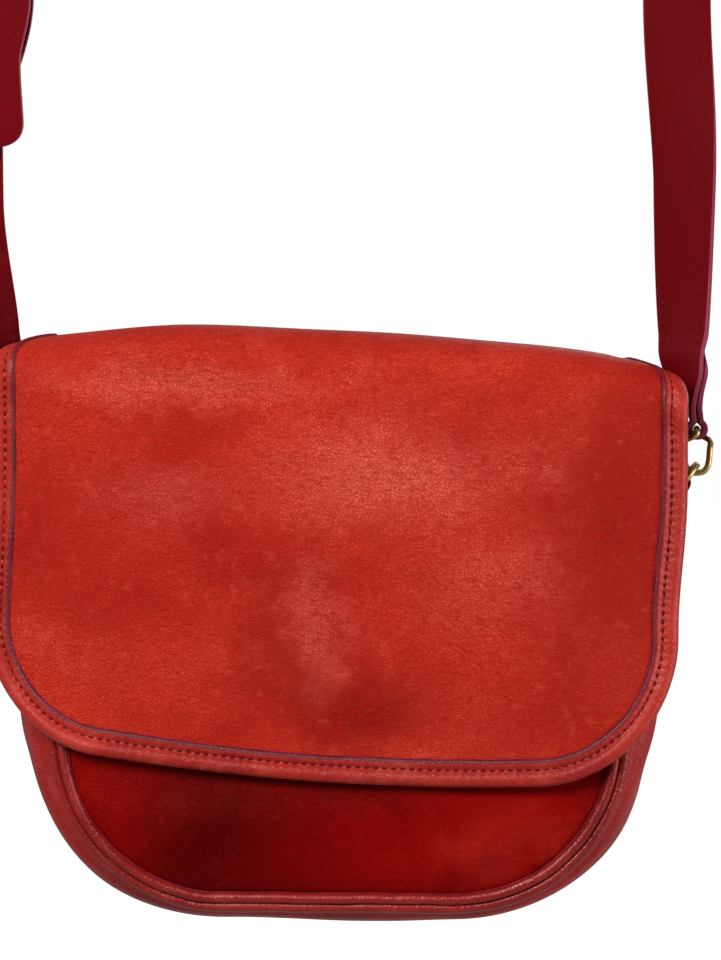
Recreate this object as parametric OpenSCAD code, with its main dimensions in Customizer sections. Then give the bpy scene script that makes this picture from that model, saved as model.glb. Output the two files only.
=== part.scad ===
// Crossbody purse with a front flap, a round-cornered body and a long buckled strap.
// Millimetres. +X is the viewer's right, the front faces -Y, +Z is up.
// The sub-parts are drawn with Z = 0 at the bag's underside, and hang() then lowers them so
// that the underside of the strap's top arc, where the bag is hung, is the origin.

/* [Body] */
// Half width of the flat bottom of the panels, between the corner arcs
bottom_half = 46; // [36:1:56]
// Radius of the panels' bottom corners
corner_r = 61; // [50:1:70]
// Height of the seam above the underside of the gusset
seam_z = 7; // [6:0.5:9]
// Height of the top edge of the two panels
panel_top = 204; // [190:1:210]
// Outward lean of the sides, in degrees
side_lean = 7.5; // [4:0.5:9]
// Depth of the body, between the outer faces of its two panels
body_depth = 70; // [60:1:80]
// Thickness of the body leather
leather = 2; // [1.6:0.1:2.4]
// How far the gusset swells outwards at the sides
gusset_bulge = 13; // [9:0.5:14]
// Radius of the piping along both seams
piping_r = 2; // [1.6:0.1:2.4]

/* [Flap] */
// Half width of the front of the flap, over its binding
flap_half = 134.5; // [128:0.5:136]
// Half width of the top of the flap
flap_top_half = 119.5; // [116:0.5:120]
// Height of the flap's bottom edge above the underside
flap_bottom = 51; // [44:1:60]
// Radius of the flap's bottom corners
flap_corner = 42; // [34:1:48]
// Thickness of the flap leather
flap_t = 2.4; // [2:0.1:3]
// Width of the binding on the face of the flap
binding_w = 8.5; // [7:0.5:10]
// Side to side place of the hidden snap
snap_x = -5; // [-20:1:20]
// Height of the hidden snap
snap_z = 81; // [74:1:92]

/* [Strap] */
// Width of the strap
strap_w = 26; // [24:1:28]
// Thickness of the strap
strap_t = 3; // [2.6:0.1:3.4]
// Width of the narrowed strap ends, inside their brass links
strap_end_w = 13; // [12:0.5:15]
// Side to side place of the strap's two vertical runs
strap_x = 135.5; // [135:0.5:140]
// Height where the top arc starts
arc_z = 550; // [450:5:600]
// How far in front of the body's middle the strap hangs, so that the closed bag hangs level
balance_y = 7; // [4:0.5:9]
// Height of the loose end of the strap
tail_z = 300; // [280:5:330]
// Height of the buckle's heel bar
buckle_z = 402; // [380:1:440]

/* [Brass] */
// Radius of the wire of the links and rings
wire_r = 1.25; // [1.1:0.05:1.4]
// Height of the bars that the rings turn on
ring_z = 168; // [164:1:172]
// Reach of a ring from its bar to the middle of its bow
ring_reach = 9; // [8:0.5:10]
// Tilt of a resting ring above the horizontal, in degrees
ring_tilt = 50; // [45:1:60]
// Length of a strap link between the middles of its two ends
link_len = 17; // [15:0.5:19]

/* [Hidden] */

red = "#b8322a";
dark_red = "#6e0f1c";
brass = "#a8894a";
steel = "#9a9a98";

half_d = body_depth / 2;
panel_in = half_d - leather;
gap = 0.3;

// The strap's arc and where it hangs
arc_r = strap_x;
apex_z = arc_z + arc_r;
hang_z = apex_z - strap_t / 2;

// Brass hardware
bar_x = 134.6;
link_x = bar_x + ring_reach * cos(ring_tilt);
bow_z = ring_z + ring_reach * sin(ring_tilt);
link_low_z = bow_z - 2 * wire_r - gap;
loop_z = link_low_z + link_len;
link_half_top = strap_end_w / 2 + wire_r + 1.8;
link_half_low = 4.2 + wire_r;
ring_half = 9;
tab_w = 14;
tab_t = 1.8;

// Flap
front_y = -41.2;
fold_z = 209;
back_hinge_z = 205.8;
flap_back_y = 38.4;

// ---------- shared curves ----------

lean = side_lean;
side_x0 = bottom_half + corner_r * cos(lean);
side_z0 = seam_z + corner_r * (1 - sin(lean));
// A side of the seam line, which straightens up towards the mouth
function side_pt(z) = [side_x0 + tan(lean) * (z - side_z0) - 0.0003 * (z - side_z0) * (z - side_z0), z];

// The right half of the seam line, from the mouth down to the middle of the bottom
side_n = 12;
corner_n = 12;
right_half = concat(
    [for (i = [0:side_n - 1]) side_pt(panel_top + (side_z0 - panel_top) * i / side_n)],
    [for (i = [0:corner_n]) let (a = -lean - (90 - lean) * i / corner_n)
        [bottom_half + corner_r * cos(a), seam_z + corner_r + corner_r * sin(a)]],
    [[bottom_half / 2, seam_z]]);
seam = concat(right_half, [[0, seam_z]],
              [for (i = [len(right_half) - 1:-1:0]) [-right_half[i][0], right_half[i][1]]]);
seam_n = len(seam);

function unit(v) = v / norm(v);
function seam_dir(i) = unit(seam[min(i + 1, seam_n - 1)] - seam[max(i - 1, 0)]);
// Outward normal of the seam line
function seam_normal(i) = let (d = seam_dir(i)) [-d[1], d[0]];
function smooth(t) = let (u = max(0, min(1, t))) u * u * (3 - 2 * u);
function bulge(z) = 6 + (gusset_bulge - 6) * smooth((z - 10) / 55);

// Faces of a tube of closed rings, with its two ends closed
function tube_faces(rings, sides) = concat(
    [[for (k = [0:sides - 1]) k]],
    [for (r = [0:rings - 2]) for (k = [0:sides - 1]) let (n = (k + 1) % sides)
        for (half = [0, 1]) half == 0
            ? [r * sides + k, (r + 1) * sides + k, (r + 1) * sides + n]
            : [r * sides + k, (r + 1) * sides + n, r * sides + n]],
    [[for (k = [sides - 1:-1:0]) (rings - 1) * sides + k]]);

// Faces of a tube that closes on itself
function loop_faces(rings, sides) = [for (r = [0:rings - 1]) for (k = [0:sides - 1])
    let (n = (k + 1) % sides, q = (r + 1) % rings)
    for (half = [0, 1]) half == 0
        ? [r * sides + k, q * sides + k, q * sides + n]
        : [r * sides + k, q * sides + n, r * sides + n]];

module hang() {
    translate([0, balance_y, -hang_z]) children();
}

// The strap and its brass hang in the plane of the origin
module hang_strap() {
    translate([0, 0, -hang_z]) children();
}

// Puts an XZ outline upright, with its front face at y and its thickness going back
module upright(y, t) {
    translate([0, y + t, 0]) rotate([90, 0, 0]) linear_extrude(t) children();
}

// A rod along Y through x, z
module bar_y(x, z, r, len, y = 0) {
    translate([x, y + len / 2, z]) rotate([90, 0, 0]) cylinder(r = r, h = len, $fn = 32);
}

// ---------- body ----------

module panel_outline() {
    polygon(seam);
}

module front_panel() {
    color(red) hang() upright(-half_d, leather) panel_outline();
}

module back_panel() {
    color(red) hang() upright(panel_in, leather) panel_outline();
}

gusset_m = 12;
function gusset_pt(i, j, inset) = let (
        n = seam_normal(i),
        o = bulge(seam[i][1]) * sin(180 * j / gusset_m) - inset)
    [seam[i][0] + n[0] * o, -panel_in + 2 * panel_in * j / gusset_m, seam[i][1] + n[1] * o];

module gusset() {
    pts = [for (i = [0:seam_n - 1]) each concat(
        [for (j = [0:gusset_m]) gusset_pt(i, j, 0)],
        [for (j = [gusset_m:-1:0]) gusset_pt(i, j, leather)])];
    color(red) hang() polyhedron(pts, tube_faces(seam_n, 2 * (gusset_m + 1)), convexity = 8);
}

module piping(y) {
    sides = 8;
    pts = [for (i = [0:seam_n - 1]) let (n = seam_normal(i)) for (k = [0:sides - 1])
        let (o = piping_r * 0.4 + piping_r * cos(360 * k / sides))
        [seam[i][0] + n[0] * o, y + piping_r * sin(360 * k / sides), seam[i][1] + n[1] * o]];
    color(red) hang() polyhedron(pts, tube_faces(seam_n, sides), convexity = 6);
}

module front_piping() {
    piping(-half_d);
}

module back_piping() {
    piping(half_d);
}

// A folded strip along the top edge of the front panel
module front_mouth_trim() {
    half = side_pt(panel_top)[0] - 3;
    color(dark_red) hang() difference() {
        translate([-half, -half_d - 0.8, panel_top - 9]) cube([2 * half, leather + 1.6, 10]);
        translate([-half - 1, -half_d, panel_top - 10]) cube([2 * half + 2, leather, 10]);
    }
}

// A slip pocket sewn to the inside of the back panel on three sides
module inner_pocket() {
    color(dark_red) hang() difference() {
        translate([-85, panel_in - 4, 68]) cube([170, 4, 92]);
        translate([-81, panel_in - 2.6, 72]) cube([162, 5, 100]);
    }
}

// ---------- hidden snap ----------

module snap_socket() {
    color(steel) hang() translate([snap_x, -half_d, snap_z]) rotate([90, 0, 0]) difference() {
        cylinder(r = 9, h = 1.8, $fn = 48);
        translate([0, 0, 0.2]) cylinder(r = 3.3, h = 3, $fn = 32);
    }
}

module snap_washer() {
    color(steel) hang() translate([snap_x, -panel_in, snap_z]) rotate([-90, 0, 0]) difference() {
        cylinder(r = 8, h = 0.8, $fn = 48);
        translate([0, 0, -1]) cylinder(r = 3, h = 3, $fn = 32);
    }
}

module snap_stud() {
    color(steel) hang() translate([snap_x, front_y + flap_t, snap_z]) rotate([-90, 0, 0]) {
        cylinder(r = 8, h = 1, $fn = 48);
        cylinder(r = 2.9, h = 3, $fn = 32);
    }
}

// ---------- flap ----------

// Half of the flap's outline with its edge moved in by d, from the fold down to the middle
function flap_half_pts(d) = let (r = flap_corner - d, x = flap_half - d, zc = flap_bottom + flap_corner)
    concat([[flap_top_half - d, fold_z - gap], [flap_top_half + 8 - d, fold_z - 6],
            [x - 2.5, fold_z - 15], [x, fold_z - 26]],
           [for (i = [0:10]) let (a = -90 * i / 10)
               [x - r + r * cos(a), zc + r * sin(a)]]);
function flap_pts(d) = let (h = flap_half_pts(d))
    concat(h, [for (i = [len(h) - 1:-1:0]) [-h[i][0], h[i][1]]]);

module flap_front() {
    color(red) hang() upright(front_y, flap_t) polygon(flap_pts(1.2));
}

// A folded strip round the free edge of the flap
module flap_binding() {
    lip = 1.2;
    color(red) hang() difference() {
        upright(front_y - lip, flap_t + 2 * lip) difference() {
            polygon(flap_pts(0));
            polygon(flap_pts(binding_w));
            translate([-200, fold_z - 12]) square([400, 40]);
        }
        upright(front_y, flap_t) polygon(flap_pts(1.2));
    }
}

// The section of the flap's top, from the back seam over to the fold, drawn in Y and Z
flap_roll = 15;
function roof(r_in) = let (r = flap_roll - r_in, top = 225 - r_in)
    concat([[flap_back_y - r_in, back_hinge_z + gap / 2]],
           [for (i = [0:8]) let (a = 90 * i / 8)
               [flap_back_y - flap_roll + r * cos(a), top - r + r * sin(a)]],
           [for (i = [0:8]) let (a = 90 + 90 * i / 8)
               [front_y + flap_roll + r * cos(a), top - r + r * sin(a)]],
           [[front_y + r_in, fold_z]]);

module flap_top() {
    inner = roof(flap_t);
    ring = concat(roof(0), [for (i = [len(inner) - 1:-1:0]) inner[i]]);
    color(red) hang() translate([-flap_top_half, 0, 0]) rotate([90, 0, 90])
        linear_extrude(2 * flap_top_half) polygon(ring);
}

// ---------- tabs, rings and links ----------

// side is 1 on the right and -1 on the left
module tab(side) {
    eye = wire_r + 0.35;
    color(dark_red) hang_strap() mirror([side > 0 ? 0 : 1, 0, 0]) difference() {
        union() {
            bar_y(bar_x, ring_z, eye + tab_t, tab_w);
            translate([bar_x, tab_w / 2, ring_z]) rotate([90, 0, 0]) linear_extrude(tab_w)
                polygon([[-2.9, -1.2], [2.9, -1.2], [0.2, -11], [-3.4, -34], [-5.6, -34],
                         [-4.2, -11]]);
        }
        bar_y(bar_x, ring_z, eye, tab_w + 2);
    }
}

// A D-shaped ring: a straight bar along Y and a bow that reaches out and up
module ring(side) {
    bow_r = ring_reach - 2;
    color(brass) hang_strap() mirror([side > 0 ? 0 : 1, 0, 0]) translate([bar_x, 0, ring_z])
        rotate([0, -ring_tilt, 0]) {
            rotate([90, 0, 0]) translate([0, 0, -ring_half])
                cylinder(r = wire_r, h = 2 * ring_half, $fn = 24);
            for (s = [-1, 1]) translate([0, s * ring_half, 0]) {
                sphere(r = wire_r, $fn = 24);
                rotate([0, 90, 0]) cylinder(r = wire_r, h = ring_reach - bow_r, $fn = 24);
            }
            for (s = [-1, 1]) translate([ring_reach - bow_r, s * (ring_half - bow_r), 0])
                rotate([0, 0, s > 0 ? 0 : -90]) rotate_extrude(angle = 90, $fn = 48)
                    translate([bow_r, 0]) circle(r = wire_r, $fn = 24);
            translate([ring_reach, ring_half - bow_r, 0]) rotate([90, 0, 0])
                cylinder(r = wire_r, h = 2 * (ring_half - bow_r), $fn = 24);
        }
}

// A link bent so that its top lies across the strap's end and its foot across the ring's bow
link_rings = 56;
function link_turn(z) = 90 * (1 - smooth((z - link_low_z - 2.5) / (link_len - 7.5)));
function link_mid(i) = let (
        a = 360 * i / link_rings,
        top = sin(a) > 0,
        half = link_half_low + (link_half_top - link_half_low) * smooth((sin(a) + 1) / 2),
        side = half * (cos(a) > 0 ? 1 : -1) * pow(abs(cos(a)), top ? 0.35 : 0.5),
        rise = link_len / 2 * (top ? 1 : -1) * pow(abs(sin(a)), top ? 0.3 : 0.72),
        z = link_low_z + link_len / 2 + rise,
        t = link_turn(z))
    [side * sin(t), side * cos(t), z];

module link(side) {
    sides = 10;
    mid = [for (i = [0:link_rings - 1]) link_mid(i)];
    pts = [for (i = [0:link_rings - 1]) let (
            d = unit(mid[(i + 1) % link_rings] - mid[(i + link_rings - 1) % link_rings]),
            u = unit(mid[i] - [0, 0, link_low_z + link_len / 2]),
            p = unit(u - d * (u * d)),
            q = cross(d, p))
        for (k = [0:sides - 1]) mid[i] + wire_r * (p * cos(360 * k / sides) + q * sin(360 * k / sides))];
    color(brass) hang_strap() mirror([side > 0 ? 0 : 1, 0, 0]) translate([link_x, 0, 0])
        polyhedron(pts, loop_faces(link_rings, sides), convexity = 6);
}

// ---------- strap ----------

// A flat band through stations of [middle, direction of its width, half width, half thickness]
module band(st) {
    n = len(st);
    pts = [for (i = [0:n - 1]) let (
            d = unit(st[min(i + 1, n - 1)][0] - st[max(i - 1, 0)][0]),
            w = st[i][1],
            f = unit(cross(d, w)),
            hw = st[i][2],
            ht = st[i][3])
        each [st[i][0] - w * hw - f * ht, st[i][0] + w * hw - f * ht,
              st[i][0] + w * hw + f * ht, st[i][0] - w * hw + f * ht]];
    polyhedron(pts, tube_faces(n, 4), convexity = 8);
}

function across(a) = [cos(a), sin(a), 0];
// Turn of the strap: edge-on at its ends and over the top arc, face-on along the middle
function turn(z) = 90 * exp(-max(0, z - loop_z - 6) / 55) + 90 * smooth((z - 440) / 100);
function end_half(z) = strap_end_w / 2 + (strap_w - strap_end_w) / 2 * smooth((z - loop_z - 12) / 26);
loop_eye = wire_r + 0.75;
loop_r = loop_eye + 2.2;
function run_x(z) = link_x + (strap_x - link_x) * smooth((z - loop_z) / 60);

module strap_eye(x) {
    bar_y(x, loop_z, loop_r, strap_end_w);
}

right_run = [for (i = [0:26]) let (z = loop_z + (arc_z - loop_z) * i / 26)
    [[run_x(z), 0, z], across(turn(z)), end_half(z), i < 3 ? 2.6 - 0.35 * i : strap_t / 2]];
top_arc = [for (i = [1:23]) let (a = 180 * i / 24)
    [[arc_r * cos(a), 0, arc_z + arc_r * sin(a)], [0, 1, 0], strap_w / 2, strap_t / 2]];

// The long piece comes down the left side behind the buckle's toe bar, passes in front of
// its heel bar, and ends in the loose tail
tail_y = -8.6;
function left_y(z) = tail_y * smooth((470 - z) / 50);
left_run = [for (i = [0:18]) let (z = arc_z + (tail_z - arc_z) * i / 18)
    [[-strap_x, left_y(z), z], across(180 - turn(z)),
     strap_w / 2 * (i == 18 ? 0.45 : i == 17 ? 0.96 : 1), strap_t / 2]];

module long_strap() {
    color(dark_red) hang_strap() difference() {
        union() {
            band(concat(right_run, top_arc, left_run));
            strap_eye(link_x);
        }
        bar_y(link_x, loop_z, loop_eye, strap_end_w + 2);
        for (k = [-3:3]) translate([-strap_x, 10, buckle_z + 2.5 + 20 * k]) rotate([90, 0, 0]) {
            cylinder(r = k == 0 ? 2.9 : 1.8, h = 30, $fn = 24);
            if (k == 0) translate([-2.9, -2.5, 0]) cube([5.8, 5, 30]);
            if (k == 0) for (s = [-1, 1]) translate([0, 2.5 * s, 0])
                cylinder(r = 2.9, h = 30, $fn = 24);
        }
    }
}

short_top = buckle_z;
short_run = [for (i = [0:16]) let (z = loop_z + (short_top - loop_z) * i / 16)
    [[-run_x(z), 0, z], across(180 - turn(z)), end_half(z), i < 3 ? 2.6 - 0.35 * i : strap_t / 2]];
heel_eye = 1.9;

module short_strap() {
    color(dark_red) hang_strap() difference() {
        union() {
            band(short_run);
            strap_eye(-link_x);
            translate([-strap_x - strap_w / 2, 0, buckle_z]) rotate([0, 90, 0])
                cylinder(r = heel_eye + 2.2, h = strap_w, $fn = 40);
        }
        bar_y(-link_x, loop_z, loop_eye, strap_end_w + 2);
        translate([-strap_x - 20, 0, buckle_z]) rotate([0, 90, 0])
            cylinder(r = heel_eye, h = 40, $fn = 32);
        translate([-strap_x - 2.4, -6, buckle_z - 3.6]) cube([4.8, 12, 12]);
    }
}

// A rectangular brass frame, tilted so that its toe bar lies in front of the long piece
frame_r = 1.6;
frame_h = 24;
frame_half = strap_w / 2 + 3.4;
frame_bend = 3;
toe_y = -13.4;
module frame_bar(from, len, turn_y) {
    translate(from) rotate([0, turn_y, 0]) cylinder(r = frame_r, h = len, $fn = 24);
}
module buckle_frame() {
    side_len = norm([toe_y, frame_h]);
    flat = frame_half - frame_bend;
    color(brass) hang_strap() translate([-strap_x, 0, buckle_z])
        rotate([atan2(-toe_y, frame_h), 0, 0]) {
            for (z = [0, side_len]) frame_bar([-flat, 0, z], 2 * flat, 90);
            for (x = [-frame_half, frame_half]) frame_bar([x, 0, frame_bend], side_len - 2 * frame_bend, 0);
            for (c = [[flat, side_len - frame_bend, 0], [-flat, side_len - frame_bend, 90],
                      [-flat, frame_bend, 180], [flat, frame_bend, 270]])
                translate([c[0], 0, c[1]]) rotate([90, 0, 0]) rotate([0, 0, c[2]])
                    rotate_extrude(angle = 90, $fn = 48) translate([frame_bend, 0])
                        circle(r = frame_r, $fn = 24);
        }
}

// The prong turns on the heel bar, passes through the long piece and rests on the toe bar
module buckle_prong() {
    eye = frame_r + 0.08;
    color(brass) hang_strap() translate([-strap_x + 1.1, 0, buckle_z]) rotate([90, 0, -90]) difference() {
        union() {
            cylinder(r = eye + 1.4, h = 2.2, $fn = 32);
            linear_extrude(2.2) polygon([[0.4, 2.2], [10.4, 6.6], [15.8, 24], [15.6, 27], [17.4, 27],
                                         [18.4, 24.4], [12.2, 4.6], [2, -1.6]]);
        }
        translate([0, 0, -1]) cylinder(r = eye, h = 5, $fn = 32);
    }
}

// A leather loop that holds the tail against the short piece, and slides along both
keeper_z = 372;
keeper_y = tail_y - 3.2;
keeper_w = strap_w + 1.4;
keeper_d = 3.2 - keeper_y;
module strap_keeper() {
    wall = 1.8;
    color(dark_red) hang_strap() translate([-strap_x, 0, keeper_z]) difference() {
        translate([-keeper_w / 2 - wall, keeper_y - wall, -5])
            cube([keeper_w + 2 * wall, keeper_d + 2 * wall, 10]);
        translate([-keeper_w / 2, keeper_y, -6]) cube([keeper_w, keeper_d, 12]);
    }
}

long_strap();
short_strap();
strap_keeper();
buckle_frame();
buckle_prong();
link(1);  // right_strap_link
link(-1);  // left_strap_link
ring(1);  // right_ring
ring(-1);  // left_ring
tab(1);  // right_tab
tab(-1);  // left_tab
front_panel();
back_panel();
gusset();
front_piping();
back_piping();
front_mouth_trim();
inner_pocket();
snap_socket();
snap_washer();
snap_stud();
flap_top();
flap_front();
flap_binding();
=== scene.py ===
import math

import bpy
import numpy as np
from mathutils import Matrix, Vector


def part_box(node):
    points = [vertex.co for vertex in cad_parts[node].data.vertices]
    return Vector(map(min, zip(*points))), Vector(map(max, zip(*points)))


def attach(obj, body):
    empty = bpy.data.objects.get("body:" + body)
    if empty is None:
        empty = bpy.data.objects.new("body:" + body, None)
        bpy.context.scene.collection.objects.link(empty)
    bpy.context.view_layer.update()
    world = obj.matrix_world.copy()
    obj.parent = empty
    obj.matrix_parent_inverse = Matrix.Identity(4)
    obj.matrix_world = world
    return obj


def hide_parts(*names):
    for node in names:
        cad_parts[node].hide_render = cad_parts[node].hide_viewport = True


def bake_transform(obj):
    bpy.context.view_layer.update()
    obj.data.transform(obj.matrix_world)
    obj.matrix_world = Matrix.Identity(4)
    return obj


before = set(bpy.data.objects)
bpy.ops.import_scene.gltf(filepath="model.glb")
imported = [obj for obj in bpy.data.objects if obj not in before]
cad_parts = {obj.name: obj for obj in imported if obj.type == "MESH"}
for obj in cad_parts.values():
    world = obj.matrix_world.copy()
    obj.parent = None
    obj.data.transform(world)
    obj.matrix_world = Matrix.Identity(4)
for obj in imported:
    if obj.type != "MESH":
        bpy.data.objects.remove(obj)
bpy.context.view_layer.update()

# Pieces are worked out in millimetres with Z = 0 at the bag's underside, as in the CAD source.
# bag_frame(), strap_frame() and row_frame() put them in the frame of the CAD, in metres.
SEAM_Z = 7.0
BAG_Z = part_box("back_panel")[0].z * 1000 - SEAM_Z
BAG_Y = (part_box("front_panel")[0].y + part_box("back_panel")[1].y) * 500
HALF_D = (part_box("back_panel")[1].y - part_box("front_panel")[0].y) * 500
PANEL_TOP = 204.0
BOTTOM_HALF = 46.0
CORNER_R = 61.0
PANEL_T = 2.0
MOUTH_SAG = 7.0
LINING_T = 1.9
LEAN = math.radians(7.5)


def bag_frame(p):
    return (np.asarray(p, float) + [0, BAG_Y, BAG_Z]) / 1000


def strap_frame(p):
    return (np.asarray(p, float) + [0, 0, BAG_Z]) / 1000


def row_frame(p):
    return np.asarray(p, float) / 1000


def smooth(t):
    t = np.clip(t, 0, 1)
    return t * t * (3 - 2 * t)


def bump(x, width):
    return np.exp(-(np.asarray(x, float) / width) ** 2)


def unit(v):
    v = np.asarray(v, float)
    return v / np.maximum(np.linalg.norm(v, axis=-1, keepdims=True), 1e-9)


# ------------------------------------------------------------------ materials

def new_material(name):
    m = bpy.data.materials.new(name)
    m.use_nodes = True
    return m, m.node_tree, m.node_tree.nodes["Principled BSDF"]


def put(tree, kind, out=0, props=None, **inputs):
    """Adds a node, sets or links its inputs, and returns its output socket."""
    n = tree.nodes.new("ShaderNode" + kind)
    for k, v in (props or {}).items():
        setattr(n, k, v)
    for k, v in inputs.items():
        socket = n.inputs[int(k[1:])] if k[0] == "i" and k[1:].isdigit() else n.inputs[k.replace("_", " ")]
        if isinstance(v, bpy.types.NodeSocket):
            tree.links.new(v, socket)
        else:
            socket.default_value = v
    return n.outputs[out]


def rest_coords(tree, cad=False):
    if cad:
        return put(tree, "TexCoord", out=3)
    return put(tree, "Attribute", out=1, props={"attribute_name": "rest"})


def scaled(tree, vec, scale):
    return put(tree, "Mapping", Vector=vec, Scale=scale)


def noise(tree, vec, scale, detail=3.0, rough=0.55, distort=0.0):
    return put(tree, "TexNoise", Vector=vec, Scale=scale, Detail=detail, Roughness=rough, Distortion=distort)


def ramp(tree, fac, lo, hi, a=0.0, b=1.0):
    return put(tree, "MapRange", props={"interpolation_type": "SMOOTHSTEP"},
               i0=fac, i1=lo, i2=hi, i3=a, i4=b)


def math_node(tree, op, a, b=0.0):
    return put(tree, "Math", props={"operation": op}, i0=a, i1=b)


def times(tree, a, b):
    return math_node(tree, "MULTIPLY", a, b)


def plus(tree, a, b):
    return math_node(tree, "ADD", a, b)


def minus(tree, a, b):
    return math_node(tree, "SUBTRACT", a, b)


def displaced(tree, vec, amount, centre=None, **look):
    """Coordinates shifted by coloured noise, so that patterns laid on them have torn edges."""
    shift = put(tree, "TexNoise", out=1, Vector=vec, **look)
    if centre:
        shift = put(tree, "VectorMath", props={"operation": "SUBTRACT"}, i0=shift, i1=centre)
    shift = put(tree, "VectorMath", props={"operation": "SCALE"}, i0=shift, Scale=amount)
    return put(tree, "VectorMath", props={"operation": "ADD"}, i0=vec, i1=shift)


def crack_net(tree, vec, scale):
    return put(tree, "TexVoronoi", props={"feature": "DISTANCE_TO_EDGE"}, Vector=vec, Scale=scale)


def rough_up(tree, bsdf, strength, distance, height):
    tree.links.new(put(tree, "Bump", Strength=strength, Distance=distance, Height=height),
                   bsdf.inputs["Normal"])


def mix_rgb(tree, fac, a, b):
    n = tree.nodes.new("ShaderNodeMix")
    n.data_type = "RGBA"
    for socket, v in ((n.inputs[0], fac), (n.inputs[6], a), (n.inputs[7], b)):
        if isinstance(v, bpy.types.NodeSocket):
            tree.links.new(v, socket)
        elif isinstance(v, (int, float)):
            socket.default_value = v
        else:
            socket.default_value = (*v, 1.0)
    return n.outputs[2]


def zone(tree, vec, centre, size):
    """One at the centre of an ellipsoid in metres, falling smoothly to zero at its surface."""
    inverse = tuple(1.0 / c for c in size)
    moved = put(tree, "Mapping", Vector=vec, Scale=inverse,
                Location=tuple(-c * i for c, i in zip(centre, inverse)))
    reach = put(tree, "VectorMath", out=1, props={"operation": "LENGTH"}, i0=moved)
    return ramp(tree, reach, 0.0, 1.0, 1.0, 0.0)


def set_inputs(bsdf, values):
    for socket, value in values.items():
        bsdf.inputs[socket].default_value = value


def leather(name, base, dark, light, rough=0.42, grain=1.0, patches=6.0, crease=0.5, scratch=0.5,
            wear_and_sheen=0.3, coat=0.1, spec=0.4, tint=(1, 1, 1), painted_light=()):
    """Pebbled leather: grain, wrinkles, darker patches, rubbed lighter patches that are partly painted sheen,
    scratches, and painted shade and painted highlights laid in ellipsoids.
    """
    m, t, bsdf = new_material(name)
    vec = rest_coords(t)
    big = noise(t, vec, patches, 2.0)
    mid = noise(t, vec, patches * 5, 4.0, 0.6)
    small = noise(t, vec, 210.0, 4.0, 0.65)
    tiny = noise(t, vec, 1500.0, 3.0, 0.6)
    color = mix_rgb(t, ramp(t, big, 0.40, 0.70, 0.0, 0.85), base, dark)
    color = mix_rgb(t, ramp(t, mid, 0.48, 0.75, 0.0, 0.45), color, dark)
    # Lighter patches toward the pale colour: partly rubbing, partly painted sheen.
    color = mix_rgb(t, ramp(t, mid, 0.50, 0.26, 0.0, wear_and_sheen), color, light)
    # Painted shade and painted highlights: each ellipsoid darkens or lightens the colour, with torn edges.
    painted_light_coords = displaced(t, vec, 0.055, (0.5, 0.5, 0.5), Scale=30.0, Detail=5.0, Roughness=0.62)
    for centre, size, painted_colour, amount in painted_light:
        shade = zone(t, painted_light_coords, centre, size)
        color = mix_rgb(t, times(t, shade, amount), color, painted_colour)
    warped = displaced(t, vec, 0.004, Scale=120.0, Detail=3.0)
    pebble = ramp(t, crack_net(t, warped, 880.0), 0.0, 0.30)
    wrinkle = noise(t, scaled(t, warped, (0.6, 1.0, 1.5)), 520.0, 4.0, 0.65, 0.3)
    where = ramp(t, noise(t, vec, 26.0, 2.0), 0.44, 0.64)
    net = crack_net(t, scaled(t, warped, (0.8, 1.0, 1.3)), 210.0)
    creases = times(t, ramp(t, net, 0.0, 0.10, 1.0, 0.0), where)
    long_net = crack_net(t, scaled(t, warped, (1.0, 0.4, 0.3)), 40.0)
    marks = times(t, ramp(t, long_net, 0.0, 0.009, 1.0, 0.0),
                  ramp(t, noise(t, vec, 34.0, 2.0), 0.57, 0.63))
    deep = tuple(0.4 * c for c in dark)
    color = mix_rgb(t, times(t, ramp(t, pebble, 0.0, 1.0, 1.0, 0.0), 0.50 * grain), color, dark)
    color = mix_rgb(t, ramp(t, wrinkle, 0.44, 0.70, 0.0, 0.50 * grain), color, dark)
    # Small lighter flecks toward the pale colour: partly rubbing, partly painted sheen.
    color = mix_rgb(t, ramp(t, small, 0.54, 0.80, 0.0, 0.22), color, light)
    color = mix_rgb(t, times(t, creases, 0.30 * crease), color, dark)
    color = mix_rgb(t, times(t, marks, 0.45 * scratch), color, deep)
    height = plus(t, times(t, pebble, 0.55 * grain), times(t, wrinkle, 0.8 * grain))
    height = plus(t, height, times(t, tiny, 0.35))
    height = minus(t, height, times(t, creases, 0.7 * crease))
    height = minus(t, height, times(t, marks, 0.8 * scratch))
    height = plus(t, height, times(t, small, 0.8))
    roughness = plus(t, times(t, small, 0.24), rough - 0.12)
    t.links.new(color, bsdf.inputs["Base Color"])
    t.links.new(roughness, bsdf.inputs["Roughness"])
    rough_up(t, bsdf, 0.85, 0.00026, height)
    set_inputs(bsdf, {"Coat Weight": coat, "Coat Roughness": 0.32, "Specular IOR Level": spec,
                      "Specular Tint": (*tint, 1.0)})
    return m


def suede(name, base, dark):
    m, t, bsdf = new_material(name)
    vec = rest_coords(t)
    nap = noise(t, vec, 1400.0, 4.0, 0.7)
    cloud = noise(t, vec, 30.0, 4.0)
    color = mix_rgb(t, ramp(t, cloud, 0.35, 0.7), base, dark)
    color = mix_rgb(t, ramp(t, nap, 0.4, 0.7, 0.0, 0.5), color, dark)
    t.links.new(color, bsdf.inputs["Base Color"])
    rough_up(t, bsdf, 0.8, 0.0003, nap)
    set_inputs(bsdf, {"Roughness": 0.95, "Sheen Weight": 0.35, "Sheen Roughness": 0.5})
    return m


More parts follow.
